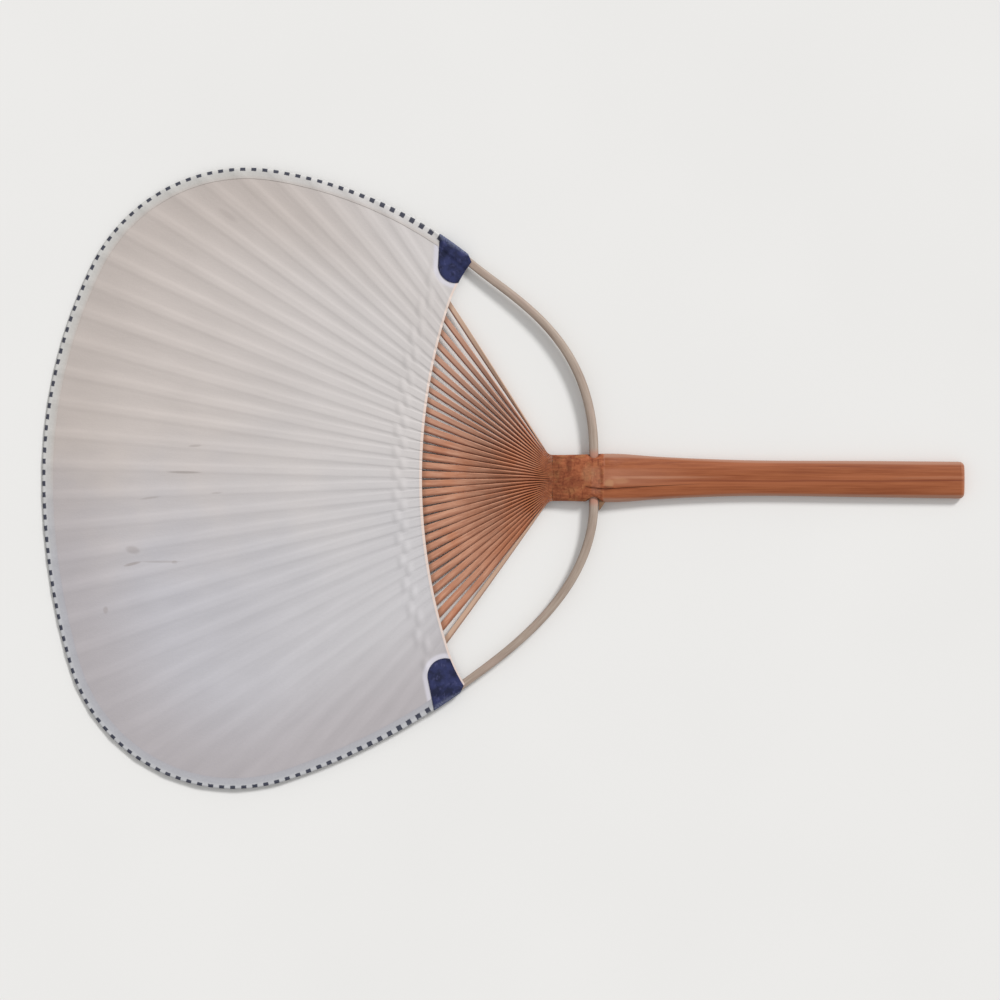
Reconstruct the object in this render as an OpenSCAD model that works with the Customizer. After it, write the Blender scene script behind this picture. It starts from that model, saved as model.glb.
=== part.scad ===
// Round uchiwa: a flat hand fan of split bamboo, two papers and a bent bamboo bow.
// The fan lies on its back. +X runs to the free end of the handle, +Y to the upper ear
// and +Z out of the front paper. The origin is under the middle of the whole fan.

/* [Overall] */
// Length from the far rim to the free end of the handle
fan_length = 370; // [360:1:380]
// Distance from the far rim to the neck, where the bamboo splits into ribs
neck_reach = 205; // [203:0.5:208]
// Height of the middle of the ribs above the table at the neck
neck_lift = 3.4; // [3:0.1:3.8]

/* [Leaf outline] */
// Radius of the far rim above the centre line
upper_far_r = 194; // [188:1:200]
// Turn of the far rim above the centre line, in degrees
upper_far_turn = 26.3; // [25.8:0.1:26.8]
// Radius of the upper far corner
upper_corner_r = 69; // [68:0.5:70]
// Turn of the upper far corner, in degrees
upper_corner_turn = 72.7; // [72:0.1:73.4]
// Radius of the rim from the upper far corner to the upper ear
upper_side_r = 169; // [160:1:180]
// Radius of the far rim below the centre line
lower_far_r = 265; // [258:1:272]
// Turn of the far rim below the centre line, in degrees
lower_far_turn = 16.6; // [16.2:0.1:17]
// Radius of the lower far corner
lower_corner_r = 68.5; // [67.5:0.5:69.5]
// Turn of the lower far corner, in degrees
lower_corner_turn = 91.9; // [91:0.1:92.8]
// Radius of the rim from the lower far corner to the lower ear
lower_side_r = 264; // [250:1:280]
// Distance from the far rim to the inner edge of the papers, on the centre line
leaf_reach = 152.5; // [151:0.5:155]
// Radius of the hollow inner edge of the papers
inner_edge_r = 228; // [222:1:235]
// Turn of the inner edge from the centre line to where it flares out to an ear, in degrees
inner_edge_turn = 17.4; // [17:0.1:18]
// Radius of the flare of the inner edge at an ear
ear_flare_r = 60; // [50:1:80]

/* [Ribs] */
// Number of ribs, an odd number
rib_count = 33; // [31:2:35]
// Turn from one rib to the next, in degrees
rib_step = 3.45; // [3.4:0.01:3.5]
// Radius of the bend of the outermost rib as it leaves the neck
rib_bend_r = 3; // [2.5:0.1:4]
// Turn of the whole fan of ribs towards the upper ear, in degrees
fan_turn = 1.5; // [1:0.1:2]
// Width of a rib where it lies flat between the papers
rib_w = 2.2; // [1.8:0.1:2.4]
// Width of a rib at the rim
rib_tip_w = 1.2; // [1:0.1:1.6]
// Thickness of a rib
rib_t = 0.5; // [0.45:0.01:0.54]
// Drop of the outermost ribs below the middle rib at the neck, from the round bamboo
rib_root_drop = 0.9; // [0:0.1:1]

/* [Handle] */
// Width of the handle at the neck
neck_w = 18.5; // [18:0.1:19]
// Width of the handle at the bamboo's node
node_w = 19.5; // [19:0.1:20]
// Width of the handle at its waist
waist_w = 14.2; // [13.5:0.1:15]
// Width of the handle near its free end
end_w = 14.8; // [14:0.1:16]
// Thickness of the handle at the node
node_t = 7; // [6.6:0.1:7.4]
// Thickness of the grip
grip_t = 5; // [4.6:0.1:5.6]
// Distance from the neck to the hole for the bow
bow_hole_reach = 16.4; // [15.8:0.1:17]
// Sideways drift of the free end, as the bamboo is cut along its own grain
grip_drift = 0.9; // [0:0.1:1.5]
// Diameter of the hole for the bow
bow_hole_d = 4; // [3.9:0.1:4.2]
// Diameter of the worn mouth of that hole
bow_hole_mouth_d = 7.4; // [6:0.1:8]
// Depth of that mouth
bow_hole_mouth_depth = 3; // [2:0.1:3.5]

/* [Bow] */
// Width of the bow where it leaves the handle
bow_w = 3.7; // [3.4:0.1:3.8]
// Thickness of the bow where it leaves the handle
bow_t = 3.2; // [2.8:0.1:3.4]
// Width of the bow between the papers
bow_tip_w = 3.2; // [2.8:0.1:3.4]
// Thickness of the bow between the papers
bow_tip_t = 1.4; // [1.2:0.1:1.6]
// Pull of the upper arm of the bow at the handle and at the ear: its fullness
upper_bow_pull = [46, 23]; // [20:1:50]
// Pull of the lower arm of the bow at the handle and at the ear: its fullness
lower_bow_pull = [36, 22]; // [20:1:50]

/* [Papers and thread] */
// Thickness of each paper
paper_t = 0.18; // [0.15:0.01:0.2]
// Thickness of the paste between two layers
paste_t = 0.02; // [0.01:0.01:0.03]
// Thickness of the strip folded over the rim
tape_t = 0.15; // [0.1:0.01:0.2]
// Width of that strip on each face
tape_w = 4.2; // [3.8:0.1:4.8]
// Thickness of an ear patch
patch_t = 0.2; // [0.15:0.01:0.25]
// Width of an ear patch
patch_w = 14.2; // [13:0.1:15]
// Centre of the upper patch's round end, from the far rim and from the centre line
upper_patch_end = [166.1, 85.2]; // [80:0.1:170]
// Lean of the upper patch, in degrees
upper_patch_lean = 3; // [0:1:8]
// Centre of the lower patch's round end, from the far rim and from the centre line
lower_patch_end = [161.9, 79.4]; // [75:0.1:170]
// Lean of the lower patch, in degrees
lower_patch_lean = 11; // [8:1:16]
// Diameter of the binding thread
thread_d = 0.5; // [0.4:0.05:0.6]
// Distance of each row of thread from the inner edge of the papers
thread_rows = [8, 10.6]; // [7:0.1:12]

/* [Hidden] */

UP = 1;
DOWN = -1;
far_x = -fan_length / 2;
end_x = fan_length / 2;
neck_x = far_x + neck_reach;
hole_x = neck_x + bow_hole_reach;
last_rib = (rib_count - 1) / 2;
rib_pitch = neck_w / rib_count;

// Layers from the face of a rib or of the bow outwards, each on its own paste.
paper_low = paste_t;
paper_high = paper_low + paper_t;
tape_low = paper_high + paste_t;
tape_high = tape_low + tape_t;

// The leaf is a plane that sinks from the neck until the rim strip touches the table.
rim_lift = rib_t / 2 + tape_high;
leaf_fall = (neck_lift - rim_lift) / neck_reach;
function leaf_z(x) = rim_lift + leaf_fall * (x - far_x);

// An arc is [centre, radius, angle at its start, angle at its end]. Each one turns right
// and starts where the one before it ends, with the same heading.
function arcs_from(p, heading, spec, i = 0) =
    i == len(spec) ? [] :
    let (r = spec[i][0], start = heading + 90, end = start - spec[i][1])
    let (c = p + r * [cos(heading - 90), sin(heading - 90)])
    concat([[c, r, start, end]],
           arcs_from(c + r * [cos(end), sin(end)], heading - spec[i][1], spec, i + 1));

side_turn = 45;
upper_rim = arcs_from([far_x + tape_t, 0], 90, [[upper_far_r, upper_far_turn],
    [upper_corner_r, upper_corner_turn], [upper_side_r, side_turn]]);
lower_rim = arcs_from([far_x + tape_t, 0], 90, [[lower_far_r, lower_far_turn],
    [lower_corner_r, lower_corner_turn], [lower_side_r, side_turn]]);
inner_edge = arcs_from([far_x + leaf_reach, 0], 90, [[inner_edge_r, inner_edge_turn],
    [ear_flare_r, side_turn]]);
thread_centre = inner_edge[0][0];

function flip(p, side) = [p.x, side * p.y];
function rim_of(side) = side == UP ? upper_rim : lower_rim;

// Distance along direction d from point o to where the line leaves a circle.
function leave(o, d, c, r) =
    let (m = o - c, b = m * d)
    -b + sqrt(b * b - m * m + r * r);
function bearing(p, c) = atan2(p.y - c.y, p.x - c.x);

// Distance along a line to a run of arcs that lies grow outside them.
function reach_arcs(o, d, arcs, grow = 0, i = 0) =
    let (t = leave(o, d, arcs[i][0], arcs[i][1] + grow))
    i == len(arcs) - 1 || bearing(o + t * d, arcs[i][0]) >= arcs[i][3] ? t :
    reach_arcs(o, d, arcs, grow, i + 1);

// Centre line of rib k, counted from the middle one. Values between two whole numbers
// give the lines between two ribs, and values past the last rib the lines of an ear.
// The ribs leave the neck side by side, bend round one centre like a stack of cards, and
// each runs straight once it has its own angle.
function rib_angle(k) = k * rib_step + fan_turn;
function rib_side(k) = rib_angle(k) >= 0 ? UP : DOWN;
function rib_way(angle) = [-cos(angle), sin(angle)];
function rib_bend(k, angle) =
    let (side = rib_side(k), r = rib_bend_r + neck_w / 2 - side * k * rib_pitch)
    [neck_x - r * abs(sin(angle)), side * (rib_bend_r + neck_w / 2 - r * cos(angle))];
function rib_root(k) = rib_bend(k, rib_angle(k));
function across(d) = [d.y, -d.x];

function to_inner(o, d, side, grow = 0) =
    reach_arcs(flip(o, side), flip(d, side), inner_edge, grow);
function to_rim(o, d, side, grow = 0) =
    reach_arcs(flip(o, side), flip(d, side), rim_of(side), grow);
function to_thread(o, d, off) = leave(o, d, thread_centre, inner_edge_r + off);

// A column is a straight line in the leaf: [start, way, side, kind, k]. Two columns
// follow the edges of each rib, one runs between neighbours, and a few cover the ears.
CREST = 0;
VALLEY = 1;
EAR = 2;
function rib_edge(k, e) =
    let (o = rib_root(k), d = rib_way(rib_angle(k)), side = rib_side(k), n = e * across(d))
    let (a = o + to_inner(o, d, side) * d + n * rib_w / 2)
    let (b = o + to_rim(o, d, side) * d + n * rib_tip_w / 2)
    [a, (b - a) / norm(b - a), side, CREST, k];
function free_line(k, kind) =
    let (o = rib_root(k), d = rib_way(rib_angle(k)), side = rib_side(k))
    [o + to_inner(o, d, side) * d, d, side, kind, k];

// Places of the ear columns past the last rib, in rib steps. The bow's tip ends at the
// third one, and the papers end at the last.
ear_steps = [0.5, 1.1, 1.6, 1.9, 2.5, 3.1];
bow_tip_step = 3;
ear_count = len(ear_steps);
columns = concat(
    [for (i = [ear_count - 1:-1:0]) free_line(-last_rib - ear_steps[i], EAR)],
    [for (k = [-last_rib:last_rib]) each concat(
        [rib_edge(k, -1), rib_edge(k, 1)],
        k < last_rib ? [free_line(k + 0.5, VALLEY)] : [])],
    [for (i = [0:ear_count - 1]) free_line(last_rib + ear_steps[i], EAR)]);

// The rows cross the columns: the inner edge, before, on and after the thread, the
// border of the rim strip, and the rim.
INNER = 0;
THREAD_1 = 2;
THREAD_2 = 3;
BORDER = 5;
RIM = 6;
thread_ramp = 1;
least_step = 0.15;
function row_reach(c, row) =
    let (rim = to_rim(c[0], c[1], c[2]))
    let (inner = to_inner(c[0], c[1], c[2]))
    let (border = max(to_rim(c[0], c[1], c[2], -tape_w), inner + 0.4 * (rim - inner)))
    let (offs = [0, thread_rows[0] - thread_ramp, thread_rows[0], thread_rows[1],
                 thread_rows[1] + thread_ramp])
    row == INNER ? inner :
    row == RIM ? rim :
    row == BORDER ? border :
    min(to_thread(c[0], c[1], offs[row]), border - least_step * (BORDER - row));
function on_column(c, t) = c[0] + t * c[1];

// Half of the room between the papers, at each row of each kind of column. The papers
// close on each other between the ribs and rise over the thread and the bow.
thread_over = rib_t / 2 + thread_d + 0.1;
thread_cross = thread_d / 2 + 0.12;
bow_half = bow_tip_t / 2;
bow_room = tape_w + 0.01;
function is_odd(k) = abs(k) % 2 == 1;
function over(k, row) = is_odd(k) == (row == THREAD_1);
function is_thread(row) = row == THREAD_1 || row == THREAD_2;
function on_bow(c) = abs(c[4]) >= last_rib + ear_steps[bow_tip_step];
function near_rim(c, row) = row_reach(c, row) >= to_rim(c[0], c[1], c[2], -bow_room);
function half_gap(c, row, face) =
    c[3] == CREST ? (is_thread(row) && over(c[4], row) == (face == UP) ? thread_over : rib_t / 2) :
    on_bow(c) ? (near_rim(c, row) ? bow_half : thread_cross) :
    is_thread(row) ? thread_cross : 0;

function reversed(list) = [for (i = [len(list) - 1:-1:0]) list[i]];
function leaf_point(c, t, face, height) =
    let (p = on_column(c, t))
    [p.x, p.y, leaf_z(p.x) + face * height];

// Skin over rings of points: rings run along the shape, and each ring goes round it, so
// that its second half comes back beside the first. Both halves are cut along the same
// diagonals, so that the two faces of a sheet run side by side and stacked sheets fit.
module skin(rings) {
    n = len(rings[0]);
    m = len(rings);
    points = [for (ring = rings) each ring];
    sides = [for (i = [0:m - 2], j = [0:n - 1])
        let (a = i * n + j, b = i * n + (j + 1) % n)
        each j >= n / 2 ? [[a, b, a + n], [b, b + n, a + n]] : [[a, b, b + n], [a, b + n, a + n]]];
    start = [for (j = [0:n / 2 - 2]) each [[j + 1, j, n - 1 - j], [j + 1, n - 1 - j, n - 2 - j]]];
    end = [for (f = start) [f[2], f[1], f[0]] + (m - 1) * n * [1, 1, 1]];
    polyhedron(points, concat(sides, start, end));
}

// Smooth curve through rows of numbers, at a place given in rows.
function mix(a, b, t) = a + (b - a) * t;
function row_at(rows, i) = rows[max(0, min(len(rows) - 1, i))];
function smooth_row(rows, u) =
    let (i = min(floor(u), len(rows) - 2), t = u - i)
    let (a = row_at(rows, i - 1), b = rows[i], c = rows[i + 1], d = row_at(rows, i + 2))
    b + t * ((c - a) / 2 + t * (a - 2.5 * b + 2 * c - d / 2 + t * (1.5 * b - 1.5 * c + (d - a) / 2)));

/* Handle */
// Rows of the handle: distance from the neck, width, height of the underside before it is
// shaved flat, height of the top and sideways drift.
handle_l = fan_length - neck_reach;
shaved = -0.4;
handle_rows = [
    [0, neck_w, 1.9, 4.9, 0],
    [5, neck_w, 1, 5.6, 0],
    [11, neck_w + 0.3, 0.2, node_t - 0.4, 0],
    [17, node_w - 0.3, shaved, node_t - 0.1, 0],
    [22, node_w, shaved, node_t, 0],
    [29, node_w - 0.4, shaved, node_t - 0.7, 0],
    [42, mix(waist_w, node_w, 0.55), shaved, grip_t + 0.6, 0],
    [60, mix(waist_w, node_w, 0.22), shaved, grip_t + 0.2, 0],
    [85, waist_w, shaved, grip_t, 0.1 * grip_drift],
    [125, mix(waist_w, end_w, 0.6), shaved, grip_t, 0.5 * grip_drift],
    [handle_l, end_w, shaved, grip_t - 0.2, grip_drift]];
handle_round = 2;
ring_sides = 16;
rings_per_row = 2;
round_power = 2.8;

// One ring of the handle, with full round edges that are widest a little below the middle.
function round_off(v) = sign(v) * pow(abs(v), 2 / round_power);
function slab_ring(x, row, trim = 0) =
    let (low = row[2], top = row[3], mid = mix(low, top, 0.42))
    [for (i = [0:ring_sides - 1])
        let (a = 360 * i / ring_sides, s = round_off(sin(a)))
        [x, (row[1] / 2 - trim) * round_off(cos(a)) - row[4],
         mid + s * ((s > 0 ? top - mid : mid - low) - trim / 2)]];

module handle_body() {
    last = len(handle_rows) - 1;
    rings = [for (i = [0:rings_per_row * last - 1])
        let (r = smooth_row(handle_rows, i / rings_per_row))
        slab_ring(neck_x + r[0], r)];
    tip = [for (a = [0:22.5:90])
        slab_ring(end_x - handle_round * (1 - sin(a)), handle_rows[last], handle_round * (1 - cos(a)))];
    intersection() {
        skin(reversed(concat(rings, tip)));
        translate([neck_x - 1, -node_w, 0]) cube([handle_l + 2, 2 * node_w, 2 * node_t]);
    }
}

bow_lift = neck_lift + 0.1;
module bow_hole() {
    translate([hole_x, 0, bow_lift]) rotate([90, 0, 0])
        cylinder(d = bow_hole_d, h = 2 * node_w, center = true, $fn = 48);
    for (side = [UP, DOWN])
        translate([hole_x, side * (node_w / 2 - bow_hole_mouth_depth), bow_lift])
            rotate([-side * 90, 0, 0])
                cylinder(d1 = bow_hole_d, d2 = bow_hole_mouth_d, h = bow_hole_mouth_depth, $fn = 48);
}

module handle() {
    color("chocolate") difference() {
        handle_body();
        bow_hole();
        wedge_block(0.05);
    }
}

/* Ribs */
// A rib stands on edge at the neck, turns as it leaves it and lies flat under the paper.
flat_before_paper = 2;
bend_rings = 2;
twist_rings = 6;
function rib_section(p, d, drop, turn) =
    let (n = across(d))
    let (broad = [n.x * sin(turn), n.y * sin(turn), cos(turn)] * rib_w / 2)
    let (thin = [n.x * cos(turn), n.y * cos(turn), -sin(turn)] * rib_t / 2)
    [for (q = [[-1, -1], [1, -1], [1, 1], [-1, 1]])
        let (v = q[0] * thin + q[1] * broad)
        [p.x + v.x, p.y + v.y, leaf_z(p.x + v.x) + v.z - drop]];
function rib_drop(k, t) = rib_root_drop * pow(k / last_rib, 2) * (1 - t);
function bent_part(k) =
    [for (i = [0:bend_rings - 1])
        let (angle = rib_angle(k) * i / bend_rings, p = rib_bend(k, angle))
        rib_section(p, rib_way(angle), rib_drop(k, 0), 0)];
function twisted_part(k) =
    let (o = rib_root(k), d = rib_way(rib_angle(k)))
    let (l = to_inner(o, d, rib_side(k)) - flat_before_paper)
    [for (i = [0:twist_rings])
        let (t = i / twist_rings, p = o + t * l * d)
        rib_section(p, d, rib_drop(k, t), 90 * t)];
function flat_end(k) =
    let (low = rib_edge(k, -1), high = rib_edge(k, 1))
    let (a = on_column(high, row_reach(high, RIM)), b = on_column(low, row_reach(low, RIM)))
    [for (q = [[b, 1], [b, -1], [a, -1], [a, 1]])
        [q[0].x, q[0].y, leaf_z(q[0].x) + q[1] * rib_t / 2]];

module ribs() {
    color("peru") for (k = [-last_rib:last_rib]) skin(concat(bent_part(k), twisted_part(k), [flat_end(k)]));
}

/* Bow */
// The bow runs along the rim under each ear and bends freely from there to the handle.
bow_gap = 0.3;
bow_inset = bow_gap + bow_tip_w / 2;
bow_ear_rings = 5;
bow_free_rings = 18;
bow_sides = 8;
function ear_line(step, side) = free_line(side * (last_rib + step), EAR);
function bow_ear_point(step, side) =
    let (c = ear_line(step, side))
    flip(on_column(c, to_rim(c[0], c[1], side, -bow_inset)), side);
function bow_tangent(p, side) =
    let (a = bearing(p, rim_of(side)[2][0]))
    [-sin(a), cos(a)];
function bezier(a, b, c, d, t) =
    let (s = 1 - t)
    s * s * s * a + 3 * s * s * t * b + 3 * s * t * t * c + t * t * t * d;
function bow_path(side) =
    let (exit = [hole_x, node_w / 2], ear = bow_ear_point(ear_steps[ear_count - 1], side))
    let (pull = side == UP ? upper_bow_pull : lower_bow_pull)
    let (back = ear - pull[1] * bow_tangent(ear, side), out = exit + [0, pull[0]])
    concat(
        [[hole_x, 0], exit],
        [for (i = [1:bow_free_rings]) bezier(exit, out, back, ear, i / bow_free_rings)],
        [for (i = [1:bow_ear_rings]) bow_ear_point(
            mix(ear_steps[ear_count - 1], ear_steps[bow_tip_step] + 0.05, i / bow_ear_rings), side)]);

// Share of the way from the handle to the ear: 0 in the handle, 1 between the papers.
function bow_share(i) = min(1, max(0, (i - 1) / bow_free_rings));
function bow_rings(side) =
    let (path = bow_path(side), last = len(path) - 1)
    [for (i = [0:last])
        let (p = flip(path[i], side), s = bow_share(i))
        let (q = flip(path[min(last, i + 1)] - path[max(0, i - 1)], side), d = q / norm(q))
        let (w = mix(bow_w, bow_tip_w, s) - (i == last ? 1 : 0))
        let (t = mix(bow_t, bow_tip_t, pow(s, 1.5)), n = side * across(d))
        [for (j = [0:bow_sides - 1])
            let (a = 360 * (j + 0.5) / bow_sides)
            let (y = w / 2 * cos(a) / cos(180 / bow_sides), h = t / 2 * sin(a) / cos(180 / bow_sides))
            [p.x + y * n.x, p.y + y * n.y, mix(bow_lift, leaf_z(p.x + y * n.x), s) + h]]];
module bow() {
    up = bow_rings(UP);
    low = bow_rings(DOWN);
    color("burlywood") skin(concat(reversed(low), [for (i = [1:len(up) - 1]) up[i]]));
}

// A sliver of bamboo driven in beside the lower arm of the bow.
module wedge_block(room) {
    x = hole_x + bow_hole_d / 2;
    y = -node_w / 2;
    translate([0, 0, bow_lift]) linear_extrude(1.6 + 2 * room, center = true)
        polygon([[x - room, y + 3.4 + room], [x + 1.4 + room, y + 3.4 + room],
                 [x + 3.2 + room, y + 1], [x - room, y - 3.6 - room]]);
}

module bow_wedge() {
    color("tan") wedge_block(0);
}

/* Thread */
// Each row of thread goes over one rib and under the next, from one arm of the bow to the other.
thread_sides = 4;
function thread_at(c, row, height) =
    let (t = to_thread(c[0], c[1], thread_rows[row - THREAD_1]))
    leaf_point(c, t, UP, height);
function thread_height(c, row) =
    c[3] != CREST ? 0 : (over(c[4], row) ? 1 : -1) * (rib_t + thread_d) / 2;
// The thread stops at the inner edge of the bow, where two circles meet.
function thread_stop(row, side) =
    let (rim = rim_of(side)[2], r = inner_edge_r + thread_rows[row - THREAD_1])
    let (v = rim[0] - thread_centre, l = norm(v), s = rim[1] - tape_w - 0.1)
    let (a = bearing(rim[0], thread_centre), b = acos((l * l + r * r - s * s) / (2 * l * r)))
    let (p = flip(thread_centre + r * [cos(a - b), sin(a - b)], side))
    [p.x, p.y, leaf_z(p.x)];
function crosses(c, row) = row_reach(c, row) < row_reach(c, BORDER) - 1;
function thread_path(row) = concat(
    [thread_stop(row, DOWN)],
    [for (c = columns) if (!on_bow(c) && crosses(c, row)) thread_at(c, row, thread_height(c, row))],
    [thread_stop(row, UP)]);
function thread_rings(path) =
    let (last = len(path) - 1)
    [for (i = [0:last])
        let (q = path[min(last, i + 1)] - path[max(0, i - 1)], d = [q.x, q.y] / norm([q.x, q.y]))
        let (n = across(d))
        [for (j = [0:thread_sides - 1])
            let (a = 360 * j / thread_sides, y = thread_d / 2 * cos(a), h = thread_d / 2 * sin(a))
            path[i] + [y * n.x, y * n.y, h]]];

module binding_thread() {
    color("ivory") for (row = [THREAD_1, THREAD_2]) skin(thread_rings(thread_path(row)));
}

/* Papers */
module paper(face) {
    rings = [for (c = columns) concat(
        [for (row = [INNER:RIM]) leaf_point(c, row_reach(c, row), face, half_gap(c, row, face) + paper_high)],
        [for (row = [RIM:-1:INNER]) leaf_point(c, row_reach(c, row), face, half_gap(c, row, face) + paper_low)])];
    skin(face == UP ? rings : reversed(rings));
}

module front_paper() {
    color("whitesmoke") paper(UP);
}

module back_paper() {
    color("whitesmoke") paper(DOWN);
}

/* Rim strip */
module rim_tape() {
    rings = [for (c = columns)
        let (rim = row_reach(c, RIM), out = to_rim(c[0], c[1], c[2], tape_t))
        let (border = row_reach(c, BORDER), h = half_gap(c, RIM, UP))
        [leaf_point(c, border, UP, h + tape_high), leaf_point(c, out, UP, h + tape_high),
         leaf_point(c, out, DOWN, h + tape_high), leaf_point(c, border, DOWN, h + tape_high),
         leaf_point(c, border, DOWN, h + tape_low), leaf_point(c, rim, DOWN, h + tape_low),
         leaf_point(c, rim, UP, h + tape_low), leaf_point(c, border, UP, h + tape_low)]];
    color("lavender") skin(rings);
}

/* Ear patches */
// A patch is a tongue of paper folded over the ear. It is cut from a layer that lies on
// everything the patch covers, from some rib steps inside the last rib.
patch_steps = 1.6;
function patch_line(c, face, lift) =
    [for (row = [INNER:RIM])
        leaf_point(c, row_reach(c, row), face, half_gap(c, row, face)
            + (row >= BORDER ? tape_high : paper_high) + lift)];
function patch_ring(c) =
    let (inside = to_rim(c[0], c[1], c[2], tape_t), outside = to_rim(c[0], c[1], c[2], tape_t + patch_t))
    let (low = half_gap(c, RIM, UP) + tape_high + paste_t, high = low + patch_t)
    concat(
        patch_line(c, UP, paste_t + patch_t),
        [leaf_point(c, outside, UP, high), leaf_point(c, outside, DOWN, high)],
        reversed(patch_line(c, DOWN, paste_t + patch_t)),
        patch_line(c, DOWN, paste_t),
        [leaf_point(c, inside, DOWN, low), leaf_point(c, inside, UP, low)],
        reversed(patch_line(c, UP, paste_t)));

module tongue() {
    round_end = [for (a = [90:7.5:270]) patch_w / 2 * [cos(a), sin(a)]];
    polygon(concat([[3 * patch_w, patch_w / 2]], round_end, [[3 * patch_w, -patch_w / 2]]));
}

module ear_patch(side, end, lean) {
    intersection() {
        skin([for (c = columns) if (side * c[4] > last_rib - patch_steps) patch_ring(c)]);
        translate([far_x + end.x, side * end.y, -1]) rotate(side * (90 - lean))
            linear_extrude(8) tongue();
    }
}

module upper_ear_patch() {
    color("midnightblue") ear_patch(UP, upper_patch_end, upper_patch_lean);
}

module lower_ear_patch() {
    color("midnightblue") ear_patch(DOWN, lower_patch_end, lower_patch_lean);
}

handle();
ribs();
bow();
bow_wedge();
binding_thread();
front_paper();
back_paper();
rim_tape();
upper_ear_patch();
lower_ear_patch();
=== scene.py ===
# %% [markdown]
# # A round uchiwa, from split bamboo and paper
# An uchiwa is a rigid hand fan. One length of bamboo is left whole as the handle and is
# split past its node into a fan of ribs. A bamboo bow is pushed through the handle, a
# thread binds the ribs to it, and two papers are pasted over ribs, thread and bow.
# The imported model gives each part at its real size. This script gives each of them the
# surface that the real one has, in the same place.

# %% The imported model
from math import asin, atan2, cos, degrees, exp, floor, hypot, pi, radians, sin, sqrt

import bmesh
import bpy
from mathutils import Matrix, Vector


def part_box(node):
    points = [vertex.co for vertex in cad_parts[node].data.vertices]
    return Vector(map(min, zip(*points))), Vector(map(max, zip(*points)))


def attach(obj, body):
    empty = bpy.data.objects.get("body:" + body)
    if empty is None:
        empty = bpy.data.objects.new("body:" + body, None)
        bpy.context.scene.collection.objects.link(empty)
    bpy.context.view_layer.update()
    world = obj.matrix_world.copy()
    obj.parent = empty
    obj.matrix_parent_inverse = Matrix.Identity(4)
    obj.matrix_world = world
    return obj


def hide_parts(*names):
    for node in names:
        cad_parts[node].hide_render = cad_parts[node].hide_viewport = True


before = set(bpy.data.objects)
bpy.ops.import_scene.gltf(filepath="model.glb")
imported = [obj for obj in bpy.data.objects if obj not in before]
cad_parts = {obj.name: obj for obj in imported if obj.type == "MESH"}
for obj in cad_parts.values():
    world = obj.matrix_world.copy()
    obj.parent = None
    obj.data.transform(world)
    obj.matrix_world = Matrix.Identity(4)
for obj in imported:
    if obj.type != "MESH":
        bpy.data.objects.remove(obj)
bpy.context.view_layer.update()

print("nodes:", ", ".join(sorted(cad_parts)))

# %% [markdown]
# ## The camera and the light
# The photograph looks straight down on the fan. A long lens, far above it, shows the same
# flat view. The sun stands low at the upper right, so that each rib under the paper
# throws its own small shade, and the pale sky fills the rest. Both together light a level
# surface with a strength of 1, so a colour looks the way it is written.

# %% Camera
MM = 0.001
FIELD_MM = 401.7
AIM_MM = (-1.2, -8.84)
CAMERA_UP_MM = 1600
SENSOR_MM = 36


def add_object(name, data):
    made = bpy.data.objects.new(name, data)
    bpy.context.scene.collection.objects.link(made)
    return made


camera_data = bpy.data.cameras.new("camera")
camera_data.sensor_width = SENSOR_MM
camera_data.lens = SENSOR_MM * CAMERA_UP_MM / FIELD_MM
camera = add_object("camera", camera_data)
camera.location = (AIM_MM[0] * MM, AIM_MM[1] * MM, CAMERA_UP_MM * MM)
bpy.context.scene.camera = camera
bpy.context.scene.view_settings.view_transform = "Standard"
print("lens", round(camera_data.lens, 1), "mm")

# %% Light
SKY = 0.56
SUN_HEIGHT = 38
SUN_BEARING = 48
SUN_SOFTNESS = 14

world = bpy.data.worlds.new("sky")
world.use_nodes = True
background = world.node_tree.nodes["Background"]
background.inputs["Color"].default_value = (1, 1, 1, 1)
background.inputs["Strength"].default_value = SKY
bpy.context.scene.world = world

sun_data = bpy.data.lights.new("sun", "SUN")
sun_data.energy = (1 - SKY) * pi / sin(radians(SUN_HEIGHT))
sun_data.angle = radians(SUN_SOFTNESS)
sun = add_object("sun", sun_data)
sun.rotation_euler = (0, radians(90 - SUN_HEIGHT), radians(SUN_BEARING))
print("sun", round(sun_data.energy, 2))

# %% [markdown]
# ## A material as a sum of fields
# A finish is built from numbers that vary over the surface: how far along the grain, how
# close to an edge. Each such number is a socket in the node tree. The class below lets
# Python's own operators join sockets, so a finish reads like a formula, and one method
# makes every other node. A finish starts from a base colour and is painted coat by coat.

# %% Fields and finishes
def srgb(red, green, blue):
    """A colour as a picture shows it, 0 to 255, as the linear colour that a shader takes."""
    def linear(part):
        part /= 255
        return part / 12.92 if part <= 0.04045 else ((part + 0.055) / 1.055) ** 2.4
    return (linear(red), linear(green), linear(blue), 1)


class Field:
    """A number that varies over a surface, held by a socket."""

    def __init__(self, finish, socket):
        self.finish = finish
        self.socket = socket

    def __rsub__(self, other):
        return self.finish.maths("SUBTRACT", other, self)

    def rise(self, start, end):
        """0 before start, 1 after end and smooth between them. A falling step has end < start."""
        spans = {"Value": self, "From Min": start, "From Max": end}
        return self.finish.add("ShaderNodeMapRange", {"interpolation_type": "SMOOTHSTEP"}, spans)


def joined_by(operation):
    return lambda *fields: fields[0].finish.maths(operation, *fields)


FIELD_METHODS = {
    "__add__": "ADD", "__radd__": "ADD", "__sub__": "SUBTRACT", "__mul__": "MULTIPLY",
    "__rmul__": "MULTIPLY", "__truediv__": "DIVIDE", "__pow__": "POWER", "__abs__": "ABSOLUTE",
    "fract": "FRACT", "low": "MINIMUM"}
for method, operation in FIELD_METHODS.items():
    setattr(Field, method, joined_by(operation))


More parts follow.
